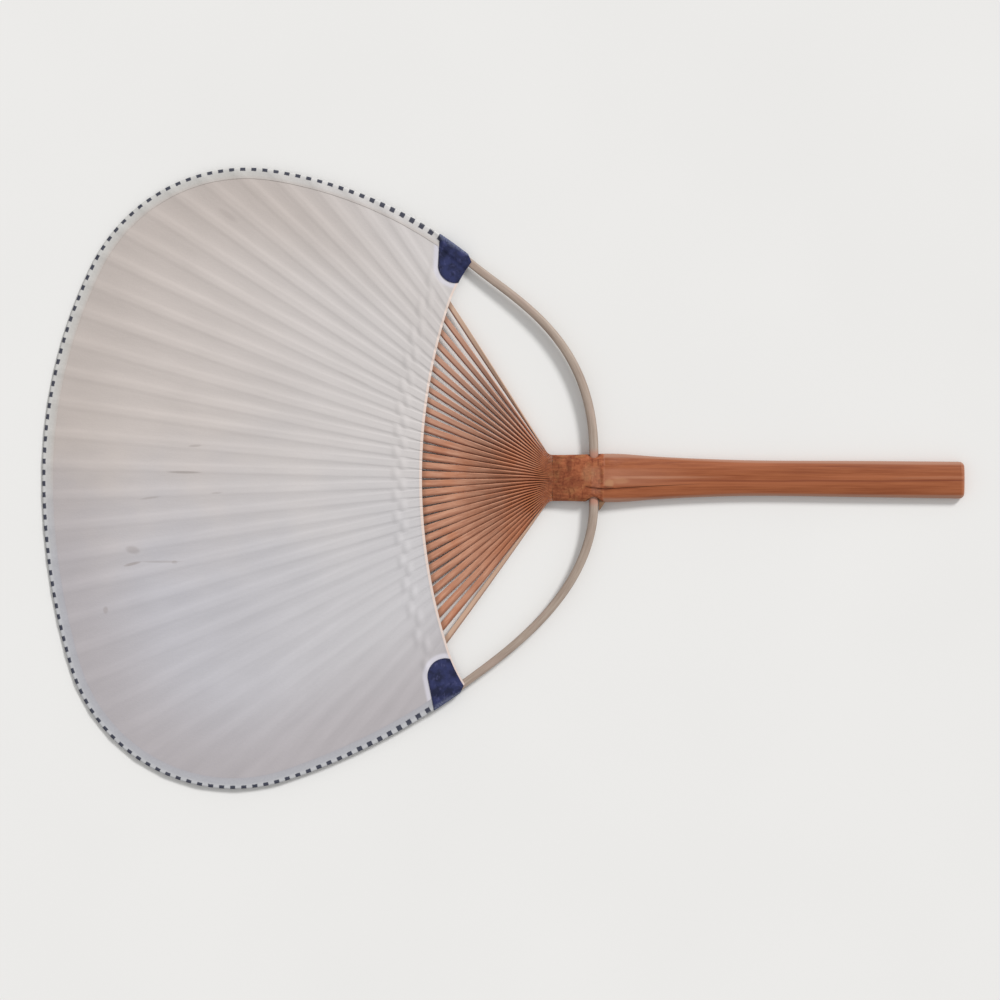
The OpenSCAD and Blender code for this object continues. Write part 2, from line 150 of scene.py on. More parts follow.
class Finish:
    """A material under construction, with the colour that it has so far."""

    def __init__(self, name, roughness, specular):
        self.material = bpy.data.materials.new(name)
        self.material.use_nodes = True
        self.tree = self.material.node_tree
        self.shader = self.tree.nodes["Principled BSDF"]
        self.shader.inputs["Roughness"].default_value = roughness
        self.shader.inputs["Specular IOR Level"].default_value = specular

    def add(self, kind, settings, sockets, output=0):
        """One node: its settings first, then the values or links of its sockets."""
        node = self.tree.nodes.new(kind)
        for name, value in settings.items():
            setattr(node, name, value)
        for name, value in sockets.items():
            if isinstance(value, Field):
                self.tree.links.new(value.socket, node.inputs[name])
            else:
                node.inputs[name].default_value = value
        return Field(self, node.outputs[output])

    def maths(self, operation, *values):
        return self.add("ShaderNodeMath", {"operation": operation}, dict(enumerate(values)))

    def scaled(self, vector, factors):
        return self.add("ShaderNodeVectorMath", {"operation": "MULTIPLY"}, {0: vector, 1: factors})

    def moved(self, vector, offset):
        return self.add("ShaderNodeVectorMath", {"operation": "ADD"}, {0: vector, 1: offset})

    def place(self):
        """Where a point is on the fan, in millimetres."""
        position = self.add("ShaderNodeTexCoord", {}, {}, "Object")
        return self.scaled(position, (1 / MM, 1 / MM, 1 / MM))

    def run(self):
        """The piece's own coordinates, kept in its attribute."""
        return self.add("ShaderNodeAttribute", {"attribute_name": "run"}, {}, "Vector")

    def parts(self, vector, axes="XYZ"):
        return [self.add("ShaderNodeSeparateXYZ", {}, {0: vector}, axis) for axis in axes]

    def noise(self, vector, stretch, detail=3, roughness=0.5):
        """Smooth noise around 0.5. Stretch is how many bumps there are in a millimetre, each way."""
        stretch = stretch if isinstance(stretch, tuple) else (stretch,) * 3
        sockets = {"Vector": self.scaled(vector, stretch), "Scale": 1, "Detail": detail,
                   "Roughness": roughness}
        return self.add("ShaderNodeTexNoise", {}, sockets, "Fac")

    def mix(self, factor, first, second):
        settings = {"data_type": "RGBA", "clamp_factor": True}
        return self.add("ShaderNodeMix", settings, {0: factor, 6: first, 7: second}, 2)

    def base(self, factor, first, second):
        """The first colour, which a field turns into a second one."""
        self.colour = self.mix(factor, srgb(*first), srgb(*second))

    def coat(self, share, *colour):
        """Paints over what is there, thick where the share is near 1."""
        self.colour = self.mix(share, self.colour, srgb(*colour))

    def shade(self, light):
        """Makes the colour lighter or darker by a field around 1."""
        grey = self.add("ShaderNodeCombineXYZ", {}, {0: light, 1: light, 2: light})
        self.colour = self.scaled(self.colour, grey)

    def done(self, relief=None, depth_mm=0, roughness=None):
        """Joins the fields to the shader. The relief runs from 0 to 1 over its depth."""
        self.tree.links.new(self.colour.socket, self.shader.inputs["Base Color"])
        if roughness:
            self.tree.links.new(roughness.socket, self.shader.inputs["Roughness"])
        if relief:
            sockets = {"Height": relief, "Distance": depth_mm * MM, "Strength": 1}
            bump = self.add("ShaderNodeBump", {}, sockets)
            self.tree.links.new(bump.socket, self.shader.inputs["Normal"])
        return self.material

# %% [markdown]
# ## The floor
# The fan lies on a plain pale table. Its colour is near white, so the picture's ground is
# pale without more light on the fan, and it still takes the fan's shadow. A hair's breadth
# is left under the fan, because two faces in one plane would flicker.

# %% Floor
FLOOR_HALF_MM = 6000
FLOOR_GAP_MM = 0.05
table = bmesh.new()
bmesh.ops.create_grid(table, x_segments=1, y_segments=1, size=FLOOR_HALF_MM * MM)
bmesh.ops.translate(table, vec=(0, 0, -FLOOR_GAP_MM * MM), verts=table.verts[:])
floor_data = bpy.data.meshes.new("floor")
table.to_mesh(floor_data)
table.free()
floor_finish = Finish("pale_table", 0.9, specular=0.1)
floor_spot = floor_finish.noise(floor_finish.place(), 0.01, detail=2)
floor_finish.base(floor_spot, (233, 232, 230), (238, 237, 235))
floor_data.materials.append(floor_finish.done())
add_object("floor", floor_data)
print("floor made")

# %% [markdown]
# ## The leaf's plan
# The papers' outline is a chain of arcs, as a maker draws it with a template: the far rim,
# a tight corner and a long side on each half, and a hollow inner edge that flares to the
# two ears. The ribs leave the neck side by side and each bends to its own bearing.
# A column is a straight line across the leaf along a rib, beside it or between two ribs.

# %% Driving sizes of the fan, in millimetres and degrees
UP = 1
DOWN = -1
FAR_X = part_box("rim_tape")[0].x / MM
NECK_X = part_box("handle")[0].x / MM
END_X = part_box("handle")[1].x / MM
LEAF_REACH = 152.5
INNER_EDGE_R = 228
INNER_EDGE_TURN = 17.4
EAR_FLARE_R = 60
SIDE_TURN = 45
RIB_COUNT = 33
RIB_STEP = 3.45
RIB_BEND_R = 3
FAN_TURN = 1.5
RIB_W = 2.2
RIB_TIP_W = 1.2
RIB_HEM_W = 2.85
FIRST_SLIM_RIB = 3
SLIM_EASE = 6
RIB_T = 0.5
HEM_EASE = 6
RIB_ROOT_DROP = 0.9
NECK_W = 18.5
NECK_LIFT = 3.4
PAPER_T = 0.18
PASTE_T = 0.02
TAPE_T = 0.15
TAPE_W = 4.2
BORDER_AT = 0.4
PATCH_T = 0.2
THREAD_D = 0.5
THREAD_PRESSED = 0.34
THREAD_ROWS = (8, 10.6)
LAST_RIB = (RIB_COUNT - 1) // 2
RIB_PITCH = NECK_W / RIB_COUNT
PAPER_TOP = PASTE_T + PAPER_T
TAPE_TOP = PAPER_TOP + PASTE_T + TAPE_T
RIM_LIFT = RIB_T / 2 + TAPE_TOP


def mix(first, second, share):
    return first + (second - first) * share


def smooth(value):
    """0 below 0, 1 above 1 and a soft step between them."""
    value = max(0, min(1, value))
    return value * value * (3 - 2 * value)


def leaf_z(x):
    """Height of the middle of the leaf, which sinks from the neck to the far rim."""
    return mix(RIM_LIFT, NECK_LIFT, (x - FAR_X) / (NECK_X - FAR_X))


def polar(radius, angle):
    return Vector((radius * cos(radians(angle)), radius * sin(radians(angle))))


def arcs_from(start, heading, spec):
    """Arcs that turn right, one after another: centre, radius and bearing of the end."""
    arcs = []
    for radius, turn in spec:
        centre = start + polar(radius, heading - 90)
        heading -= turn
        start = centre + polar(radius, heading + 90)
        arcs.append((centre, radius, heading + 90))
    return arcs


rim_start = Vector((FAR_X + TAPE_T, 0))
RIM = {UP: arcs_from(rim_start, 90, [(194, 26.3), (69, 72.7), (169, SIDE_TURN)]),
       DOWN: arcs_from(rim_start, 90, [(265, 16.6), (68.5, 91.9), (264, SIDE_TURN)])}
INNER_EDGE = arcs_from(Vector((FAR_X + LEAF_REACH, 0)), 90,
                       [(INNER_EDGE_R, INNER_EDGE_TURN), (EAR_FLARE_R, SIDE_TURN)])
THREAD_CENTRE = INNER_EDGE[0][0]
print("leaf from", round(FAR_X, 1), "to the neck at", round(NECK_X, 1))

# %% Lines across the leaf
def across(way):
    return Vector((way.y, -way.x))


def flip(point, side):
    return Vector((point.x, side * point.y))


def leave(start, way, centre, radius):
    """Distance along a line to where it leaves a circle, or None if it misses the circle."""
    offset = start - centre
    along = offset.dot(way)
    square = along * along - offset.length_squared + radius * radius
    return sqrt(square) - along if square >= 0 else None


def bearing(spoke):
    """Direction of a spoke, between -90 and 270 degrees."""
    return (degrees(atan2(spoke.y, spoke.x)) + 90) % 360 - 90


def reach(start, way, side, arcs, grow=0):
    """Distance along a line to a chain of arcs, moved outwards by grow."""
    start, way = flip(start, side), flip(way, side)
    for centre, radius, end in arcs:
        distance = leave(start, way, centre, radius + grow)
        if distance is not None:
            spoke = start + distance * way - centre
            if bearing(spoke) >= end:
                break
    return distance


def rib_angle(k):
    return k * RIB_STEP + FAN_TURN


def rib_way(angle):
    return Vector((-cos(radians(angle)), sin(radians(angle))))


def upper_share(k):
    """0 for the broad ribs of the middle and the lower half, 1 for the slim upper ones."""
    return smooth((k - FIRST_SLIM_RIB) / SLIM_EASE) if k > -LAST_RIB else 1


def rib_width(k, distance, share):
    """Width of rib k at a distance and a share of its way under the papers."""
    broad = mix(RIB_HEM_W, RIB_W, upper_share(k))
    return mix(mix(broad, RIB_W, smooth(distance / HEM_EASE)), RIB_TIP_W, share)


def rib_bend(k, angle):
    """A point of the bend of rib k where it has turned by angle."""
    side = UP if rib_angle(k) >= 0 else DOWN
    radius = RIB_BEND_R + NECK_W / 2 - side * k * RIB_PITCH
    turn = radians(angle)
    y = RIB_BEND_R + NECK_W / 2 - radius * cos(turn)
    return Vector((NECK_X - radius * abs(sin(turn)), side * y))


class Column:
    """A straight line from the inner edge to the rim, beside rib k by some millimetres."""

    def __init__(self, k, inner_offset=0, rim_offset=0):
        self.k = k
        self.side = UP if rib_angle(k) >= 0 else DOWN
        root, way = rib_bend(k, rib_angle(k)), rib_way(rib_angle(k))
        inner = root + reach(root, way, self.side, INNER_EDGE) * way + inner_offset * across(way)
        outer = root + reach(root, way, self.side, RIM[self.side]) * way + rim_offset * across(way)
        self.way = (outer - inner).normalized()
        self.start = inner + reach(inner, self.way, self.side, INNER_EDGE) * self.way
        self.rim = self.to_rim(0)
        self.border = max(self.to_rim(-TAPE_W), BORDER_AT * self.rim)
        self.rib = max(-LAST_RIB, min(LAST_RIB, round(k)))

    def to_rim(self, grow):
        return reach(self.start, self.way, self.side, RIM[self.side], grow)

    def depth(self, width):
        """Distance of the line that runs at some width inside the rim, or outside if negative."""
        if width < 0:
            return self.to_rim(-width)
        return mix(self.rim, self.border, width / TAPE_W)

    def rim_place(self, point):
        """How far a point lies inside the rim, and how far along the rim from its middle."""
        passed, start = 0, 180
        for centre, radius, end in RIM[self.side]:
            spoke = flip(point, self.side) - centre
            if bearing(spoke) >= end:
                break
            passed += radians(start - end) * radius
            start = end
        return radius - spoke.length, self.side * (passed + radians(start - bearing(spoke)) * radius)

    def to_thread(self, offset):
        return leave(self.start, self.way, THREAD_CENTRE, INNER_EDGE_R + offset)

    def at(self, distance):
        return self.start + distance * self.way


middle_column = Column(0)
print("middle rib is", round(middle_column.rim, 1), "mm long under the papers")

# %% [markdown]
# ## What lifts the papers
# Between the ribs the two papers are pasted to each other. Over a rib each of them rises
# by half of the rib's thickness, with a soft shoulder where the wet paper was pressed
# down. The thread lifts both papers a little between the ribs. It lifts the front one
# more where it crosses over a rib, and the back one where it crosses under. The flat end
# of the bow lifts both along the ears.

# %% Room between the papers
SHOULDER = 1.5
TIP_SHOULDER = 2.6
SHOULDER_FILL = 0.9
THREAD_SPREAD = 1.9
THREAD_BETWEEN = 0.28
THREAD_ROOM = 0.36
BLEND = 3
BOW_START = LAST_RIB + 1.55
BOW_RAMP = 0.35
BOW_HALF = 0.7
BOW_BAND = 3.7
BOW_SHOULDER = 2.2


def rib_room(k, point, distance, share):
    """Rise of a paper over rib k at a point, and the point's own place in rib steps."""
    offset = point - rib_bend(k, rib_angle(k))
    way = rib_way(rib_angle(k))
    beside = offset.dot(across(way))
    pitch = RIB_PITCH + offset.dot(way) * radians(RIB_STEP)
    half = rib_width(k, distance, share) / 2
    shoulder = min(mix(SHOULDER, TIP_SHOULDER, share), SHOULDER_FILL * (pitch / 2 - half))
    rise = RIB_T / 2 * (1 - smooth((abs(beside) - half) / shoulder))
    return rise, k + beside / pitch


def thread_wave(row, place):
    """1 where a row of thread is over a rib, -1 where it is under one, and 0 beside them all."""
    if abs(place) >= LAST_RIB + 0.5:
        return 0
    return cos(pi * place) * (-1 if row == 0 else 1)


def thread_room(face, place, point, gap):
    """Rise of a paper over the two rows of thread."""
    if gap < TAPE_W:
        return 0
    ring = (point - THREAD_CENTRE).length - INNER_EDGE_R
    rise = 0
    for row, distance in enumerate(THREAD_ROWS):
        height = max(0, THREAD_BETWEEN + THREAD_ROOM * thread_wave(row, place) * face)
        rise = max(rise, height * exp(-((ring - distance) / THREAD_SPREAD) ** 2))
    return rise


def bow_room(place, gap):
    """Rise of a paper over the end of the bow, along the ear."""
    along = smooth((abs(place) - BOW_START) / BOW_RAMP)
    return BOW_HALF * along * (1 - smooth((gap - BOW_BAND) / BOW_SHOULDER))


def room(column, face, distance):
    """Half of the room between the papers, the place in rib steps and the gap to the rim."""
    point = column.at(distance)
    rise, place = rib_room(column.rib, point, distance, distance / column.rim)
    if abs(column.k) > LAST_RIB:
        place = column.k
    gap = column.rim_place(point)[0]
    rises = (rise, thread_room(face, place, point, gap), bow_room(place, gap))
    return sum(part ** BLEND for part in rises) ** (1 / BLEND), place, gap


def lifted(point, face, height):
    return Vector((point.x, point.y, leaf_z(point.x) + face * height))


print("room over the middle rib:", [round(room(middle_column, UP, t)[0], 2) for t in THREAD_ROWS])

# %% [markdown]
# ## Sheets and rods
# Every sheet starts as one flat grid whose corners are then moved, and gets its thickness
# from the solidify operator. Every rod starts as a grid too: its two long edges are
# merged, and its ends are filled. Each corner also keeps the piece's own coordinates,
# such as the distance along a rib, which the finishes read.

# %% Mesh helpers
WELD_MM = 1e-4
ON_PLANE_MM = 1e-5


def new_mesh():
    mesh = bmesh.new()
    mesh.verts.layers.float_vector.new("run")
    return mesh


def add_grid(mesh, columns, rows, place):
    """A grid whose corners go where place(i, j) says: a point in millimetres and its run."""
    made = bmesh.ops.create_grid(mesh, x_segments=columns - 1, y_segments=rows - 1, size=1)["verts"]
    run = mesh.verts.layers.float_vector["run"]
    for number, corner in enumerate(made):
        corner.co, corner[run] = place(number % columns, number // columns)
    return made


def add_rod(mesh, rings, sides, place):
    """A closed rod. place(i, j) gives side j of ring i, and side 0 comes back at the end."""
    made = add_grid(mesh, rings, sides + 1, lambda i, j: place(i, j % sides))
    bmesh.ops.remove_doubles(mesh, verts=made, dist=WELD_MM)
    rod = {face for corner in made if corner.is_valid for face in corner.link_faces}
    rims = [edge for face in rod for edge in face.edges if edge.is_boundary]
    bmesh.ops.holes_fill(mesh, edges=list(set(rims)), sides=0)
    return made


def thicken(mesh, thickness):
    """Gives an open sheet its thickness, behind its faces."""
    mesh.normal_update()
    bmesh.ops.solidify(mesh, geom=mesh.faces[:], thickness=thickness)


def cut_off(mesh, point, outwards):
    """Cuts away all that lies beyond a plane and returns the edges of the cut."""
    everything = mesh.verts[:] + mesh.edges[:] + mesh.faces[:]
    cut = bmesh.ops.bisect_plane(mesh, geom=everything, dist=ON_PLANE_MM, plane_co=point,
                                 plane_no=outwards, clear_outer=True)["geom_cut"]
    return [part for part in cut if isinstance(part, bmesh.types.BMEdge)]


def to_data(name, mesh):
    """Turns a closed mesh in millimetres into the data of an object, in metres."""
    bmesh.ops.recalc_face_normals(mesh, faces=mesh.faces[:])
    bmesh.ops.scale(mesh, vec=(MM, MM, MM), verts=mesh.verts[:])
    data = bpy.data.meshes.new(name)
    mesh.to_mesh(data)
    mesh.free()
    return data


def dress(data, finish, node, crease=40):
    """Adds a piece of the fan, with its finish, that stands for its CAD node."""
    data.shade_smooth()
    data.set_sharp_from_angle(angle=radians(crease))
    data.materials.append(finish)
    made = add_object(data.name, data)
    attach(made, "root")
    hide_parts(node)
    print(made.name, len(data.polygons), "faces")

# %% [markdown]
# ## The finish of the papers
# The papers are handmade and have aged: a warm pale grey on one half of the fan and a
# cooler one on the other, paler towards the ribs and darker at the far rim, with faint
# fibres. A painted highlight runs along each rib and a painted shade lies in the valleys beside them.
# The inner edge has a narrow hem of cream paper. The front paper is paler round each ear
# patch and has a few scuffs and stains.

# %% Finish of the papers
PATCH_W = 14.2
PATCH_ENDS = {UP: (Vector((FAR_X + 166.1, 85.2)), 87), DOWN: (Vector((FAR_X + 161.9, -79.4)), -79)}
HEM_W = 1.1
STAINS = [
    (-128, 2.3, 6.6, 0.5, -1, 0.6), (-123.6, 12.9, 2.6, 0.5, 4, 0.4), (-141.7, -8, 3.9, 0.45, 8, 0.35),
    (-148.6, -28.9, 2.8, 1.5, -12, 0.4), (-148.8, -34.5, 3.4, 0.6, 14, 0.6),
    (-137, -33.6, 8, 0.45, 0, 0.35), (-131.8, -33.8, 1.2, 0.7, 0, 0.3), (-159.5, -53, 1, 1.5, 0, 0.4),
    (-114.9, -6, 2.2, 0.4, 4, 0.3), (-110.5, 105.5, 4.5, 1.2, -35, 0.2), (-60, 40, 7, 0.5, -24, 0.15)]


def tongue_gap(x, y, side):
    """Distance outside the tongue-shaped ear patch, as a field."""
    end, axis_bearing = PATCH_ENDS[side]
    axis = polar(1, axis_bearing)
    right, up = x - end.x, y - end.y
    along = right * axis.x + up * axis.y
    beside = up * axis.x - right * axis.y
    before = along.low(0)
    return (beside * beside + before * before) ** 0.5 - PATCH_W / 2


def marks_on(x, y, marks):
    """Soft marks, each an ellipse: its middle, half length, half width, bearing and strength."""
    total = 0
    for middle_x, middle_y, half_l, half_w, bearing, strength in marks:
        turn = radians(bearing)
        right, up = x - middle_x, y - middle_y
        along = (right * cos(turn) + up * sin(turn)) / half_l
        beside = (up * cos(turn) - right * sin(turn)) / half_w
        total = total + (along * along + beside * beside).rise(1.6, 0.2) * strength
    return total


def paper_finish(name, is_front):
    finish = Finish(name, 0.85, specular=0.25)
    place = finish.place()
    x, y = finish.parts(place, "XY")
    k, from_edge, from_rim = finish.parts(finish.run())
    cloud = finish.noise(place, 0.03)
    streak = finish.noise(finish.run(), (2.2, 0.035, 0.001), roughness=0.6)
    fibre = finish.noise(place, (0.9, 2.6, 1), detail=4, roughness=0.7)
    fleck = finish.noise(place, 2.2, detail=2)
    half = (y + (cloud - 0.5) * 60).rise(30, -50)
    finish.base(half, (200, 191, 186), (189, 187, 192))
    finish.coat(from_edge.rise(120, 10) * 0.6, 208, 205, 205)
    far = from_rim.rise(45, 5) * (x + y).rise(60, 10)
    far_colour = finish.mix(half, srgb(189, 179, 173), srgb(177, 171, 173))
    finish.colour = finish.mix(far * 0.85, finish.colour, far_colour)
    # Painted highlight along each rib and painted shade in the valleys between ribs, on top of the real
    # relief.
    beside = abs((k + 0.5).fract() - 0.5)
    rib_highlight = beside.rise(0.3, 0)
    valley_shade = beside.rise(0.22, 0.5)
    light = 1 + (cloud - 0.5) * 0.12 + (streak - 0.5) * 0.16 + (fibre - 0.5) * 0.08
    finish.shade(light + rib_highlight * 0.025 - valley_shade * 0.02 + (fleck - 0.5) * 0.04)
    if is_front:
        halo = tongue_gap(x, y, UP).low(tongue_gap(x, y, DOWN))
        finish.coat(halo.rise(2.6, 1.2) * (0.6 + cloud * 0.5), 216, 213, 222)
        finish.coat(marks_on(x, y, STAINS) * (fibre + 0.4), 150, 140, 136)
    finish.coat(from_edge.rise(HEM_W + 0.1, HEM_W - 0.1) * 0.85, 230, 210, 199)
    return finish.done(fibre * 0.5 + streak * 0.5, 0.12, roughness=0.8 + fleck * 0.12)


front_finish = paper_finish("front_paper_finish", True)
back_finish = paper_finish("back_paper_finish", False)
print("papers:", len(front_finish.node_tree.nodes), "nodes on the front")

# %% [markdown]
# ## The papers
# Each paper is one sheet. Its columns run along the ribs: on the rib, down both
# shoulders and along the valley between two ribs. Its rows are close together at the
# inner edge, where the thread crosses, and wide apart over the rest.

# %% Papers
PAPER_INSET = 0.5
HEM_RISE = 0.08
HEM_STEP = 0.3
RIB_OFFSETS = [(0.8, 0.4), (1.1, 0.65), (1.2, 1.1), (1.3, 1.65), (1.4, 2.3), (1.5, 3.1)]
EAR_STEPS = [0.5, 0.75, 1, 1.2, 1.4, 1.55, 1.65, 1.75, 1.85, 1.95, 2.1, 2.25, 2.35, 2.42, 2.49,
             2.56, 2.63, 2.7, 2.77, 2.84, 2.92, 3, 3.1]
LAST_EAR_STEP = EAR_STEPS[-1]
ROW_SPANS = [4, 8, 20, 30, 6]
ROW_LIMITS = [0.2, 0.45, 0.9]
THREAD_MARGIN = 3.4


def leaf_columns():
    """All columns of the leaf, from the lower ear to the upper one."""
    ribs = []
    for k in range(-LAST_RIB, LAST_RIB + 1):
        ribs += [Column(k, -inner, -rim) for inner, rim in reversed(RIB_OFFSETS)]
        ribs += [Column(k)] + [Column(k, inner, rim) for inner, rim in RIB_OFFSETS]
        if k < LAST_RIB:
            ribs.append(Column(k + 0.5))
    lower_ear = [Column(-LAST_RIB - step) for step in reversed(EAR_STEPS)]
    return lower_ear + ribs + [Column(LAST_RIB + step) for step in EAR_STEPS]


def row_distances(column, end):
    """Distances of all rows along a column: hem, thread, open leaf and border."""
    low = column.to_thread(THREAD_ROWS[0] - THREAD_MARGIN)
    high = column.to_thread(THREAD_ROWS[1] + THREAD_MARGIN)
    inner = [min(stop, limit * column.border) for stop, limit in zip((HEM_W, low, high), ROW_LIMITS)]
    stops = [0] + inner + [column.border, end]
    rows = [0]
    for span, count in enumerate(ROW_SPANS):
        rows += [mix(stops[span], stops[span + 1], (n + 1) / count) for n in range(count)]
    return rows


columns = leaf_columns()


def make_paper(name, node, face, finish):
    rows = [row_distances(column, column.depth(PAPER_INSET)) for column in columns]

    def place(i, j):
        column, distance = columns[i], rows[i][j]
        rise, k, gap = room(column, face, distance)
        hem = HEM_RISE * (1 - smooth((distance - HEM_W) / HEM_STEP))
        return lifted(column.at(distance), face, rise + PAPER_TOP + hem), (k, distance, gap)

    mesh = new_mesh()
    add_grid(mesh, len(columns), len(rows[0]), place)
    if face == DOWN:
        bmesh.ops.reverse_faces(mesh, faces=mesh.faces[:])
    thicken(mesh, PAPER_T)
    dress(to_data(name, mesh), finish, node)


make_paper("front_sheet", "front_paper", UP, front_finish)
make_paper("back_sheet", "back_paper", DOWN, back_finish)

# %% [markdown]
# ## The strip along the rim
# A narrow strip of printed paper is folded over the rim and hides both papers' edges.
# It is about as pale as they are, with a row of small dark squares that straddle the
# fold, a common border of such fans. It follows every rib, so it is one folded sheet over
# the same columns. Its rows go up to the fold on the front, round it and down the back.

# %% Strip along the rim
FOLD = 0.6
FLAT_STEPS = [4.2, 3.4, 2.6, 1.9, 1.2, 0.7]
FOLD_ANGLES = [75, 55, 35, 12, -12, -35, -55, -75]
SQUARE_PITCH = 4.5
SQUARE_W = 2.1
DEGREES_PER_MM = 1000


def fold_row(j, flat_rows):
    """Row j of a folded sheet: its face and number from the edge, or 0 and its angle in the fold."""
    past_face = j - flat_rows
    if 0 <= past_face < len(FOLD_ANGLES):
        return 0, FOLD_ANGLES[past_face]
    if past_face < 0:
        return UP, j
    return DOWN, 2 * flat_rows + len(FOLD_ANGLES) - 1 - j


def on_face(column, face, distance, layers):
    """A point above or below the leaf, with some thickness of layers under it."""
    return lifted(column.at(distance), face, room(column, face, distance)[0] + layers)


def in_fold(column, angle, more=0):
    """A point of the strip's fold round the rim, or of a sheet that lies on it and is more away."""
    height = room(column, UP, column.depth(FOLD))[0] + TAPE_TOP + more
    out = (FOLD + TAPE_T + more) * cos(radians(angle)) - FOLD
    return lifted(column.at(column.depth(-out)), UP, height * sin(radians(angle)))


def tape_finish():
    finish = Finish("checked_strip", 0.8, specular=0.25)
    place = finish.place()
    along, from_fold, k = finish.parts(finish.run())
    x, y = finish.parts(place, "XY")
    speck = finish.noise(place, 1.3, roughness=0.6)
    cloud = finish.noise(place, 0.08, detail=2)
    cool = (y + (cloud - 0.5) * 60).rise(30, -50)
    finish.base(cool, (195, 192, 188), (176, 176, 181))
    finish.coat((x + y).rise(10, 60), 207, 203, 201)
    finish.coat(abs(from_fold).rise(2.2, 0.6) * 0.35, 214, 215, 214)
    rim_paper = finish.mix(cool, srgb(190, 180, 174), srgb(173, 170, 175))
    finish.colour = finish.mix(abs(from_fold).rise(2.4, 4.2) * 0.6, finish.colour, rim_paper)
    finish.shade(0.9 + speck * 0.2)
    middle = 0.1 + abs(k).rise(13.5, 18)
    waver = (speck - 0.5) * 0.5
    in_row = abs((along / SQUARE_PITCH).fract() - 0.5) * SQUARE_PITCH + waver
    in_depth = abs(from_fold - middle) + waver
    square = in_row.rise(SQUARE_W / 2 + 0.15, SQUARE_W / 2 - 0.15) * in_depth.rise(1.2, 0.9)
    finish.coat(square * (0.86 + speck * 0.14), 38, 42, 62)
    return finish.done(speck, 0.06)


def make_strip():
    def place(i, j):
        column = columns[i]
        face, row = fold_row(j, len(FLAT_STEPS))
        if face:
            width = FLAT_STEPS[row]
            point = on_face(column, face, column.depth(width), TAPE_TOP)
        else:
            point = in_fold(column, row)
        from_fold = face * width if face else row / DEGREES_PER_MM
        return point, (column.rim_place(point.xy)[1], from_fold, column.k)

    mesh = new_mesh()
    add_grid(mesh, len(columns), 2 * len(FLAT_STEPS) + len(FOLD_ANGLES), place)
    thicken(mesh, TAPE_T)
    ends = [column.rim_place(column.at(column.rim))[1] for column in (columns[0], columns[-1])]
    print("strip is", round(ends[1] - ends[0]), "mm long")
    dress(to_data("rim_strip", mesh), tape_finish(), "rim_tape")


make_strip()

# %% [markdown]
# ## The ear patches
# A tongue of dark blue paper is folded over each ear, where the bow leaves the papers and
# the paper would tear first. It is blotched, and worn pale along the fold. The sheet that
# lies on everything below it is made first, and planes then cut it to the tongue: two
# straight sides and a round end. The lower patch stops short of the paper's inner edge.

# %% Ear patches
PATCH_STEPS = 1.6
PATCH_INSET = {UP: 0, DOWN: 0.8}
PATCH_INSET_SHARE = 0.3
PATCH_LAYER = PASTE_T + PATCH_T
PATCH_COLUMNS = 70
PATCH_ROWS = 60
STRIP_MARGIN = 0.6
STRIP_STEP = 0.5
FOLD_RUN = 0.1
CUT_STEP = 7.5


def patch_finish():
    finish = Finish("dark_patch", 0.7, specular=0.3)
    place = finish.place()
    from_fold, gap = finish.parts(finish.run(), "XY")
    cloud = finish.noise(place, 0.25)
    fibre = finish.noise(place, 1.5, roughness=0.7)
    crease = finish.noise(place, (0.5, 0.12, 0.5), detail=2)
    blotch = finish.noise(finish.moved(place, (9, 4, 0)), (0.6, 0.4, 0.6), roughness=0.6)
    finish.base(cloud.rise(0.35, 0.65), (23, 28, 58), (44, 50, 92))
    finish.coat(blotch.rise(0.52, 0.7) * 0.4, 84, 86, 130)
    finish.coat(abs(from_fold).rise(2, 0.2) * fibre.rise(0.3, 0.6) * 0.75, 112, 118, 142)
    finish.coat(gap.rise(-1.2, -0.1) * 0.35, 28, 30, 48)
    finish.shade(0.85 + fibre * 0.3)
    return finish.done(crease * 0.6 + fibre * 0.4, 0.12, roughness=0.62 + fibre * 0.2)


def make_patch(name, side, node, finish):
    end, axis_bearing = PATCH_ENDS[side]
    axis = polar(1, axis_bearing)
    steps = [mix(-PATCH_STEPS, LAST_EAR_STEP, n / (PATCH_COLUMNS - 1)) for n in range(PATCH_COLUMNS)]
    ear = [Column(side * (LAST_RIB + step)) for step in steps]
    if side == DOWN:
        ear.reverse()

    def place(i, j):
        column = ear[i]
        face, row = fold_row(j, PATCH_ROWS)
        if face:
            fold_at = column.depth(FOLD)
            inset = min(PATCH_INSET[side], PATCH_INSET_SHARE * fold_at)
            distance = mix(inset, fold_at, row / (PATCH_ROWS - 1))
            width = (column.rim - distance) / (column.rim - column.border) * TAPE_W
            on_strip = smooth((TAPE_W + STRIP_MARGIN - width) / STRIP_STEP)
            below = mix(PAPER_TOP, TAPE_TOP, on_strip)
            point = on_face(column, face, distance, below + PATCH_LAYER)
            from_fold = face * width
        else:
            point = in_fold(column, row, PATCH_LAYER)
            from_fold = FOLD_RUN * sin(radians(row))
        offset = point.xy - end
        beside = axis.x * offset.y - axis.y * offset.x
        gap = hypot(beside, min(0, offset.dot(axis))) - PATCH_W / 2
        return point, (from_fold, gap, column.k)

    mesh = new_mesh()
    add_grid(mesh, PATCH_COLUMNS, 2 * PATCH_ROWS + len(FOLD_ANGLES), place)
    for number in range(int(180 / CUT_STEP) + 1):
        out = polar(1, axis_bearing + 90 + number * CUT_STEP)
        edge = end + out * PATCH_W / 2
        cut_off(mesh, (edge.x, edge.y, 0), (out.x, out.y, 0))
    thicken(mesh, PATCH_T)
    dress(to_data(name, mesh), finish, node)


dark_patch = patch_finish()
make_patch("upper_patch", UP, "upper_ear_patch", dark_patch)
make_patch("lower_patch", DOWN, "lower_ear_patch", dark_patch)
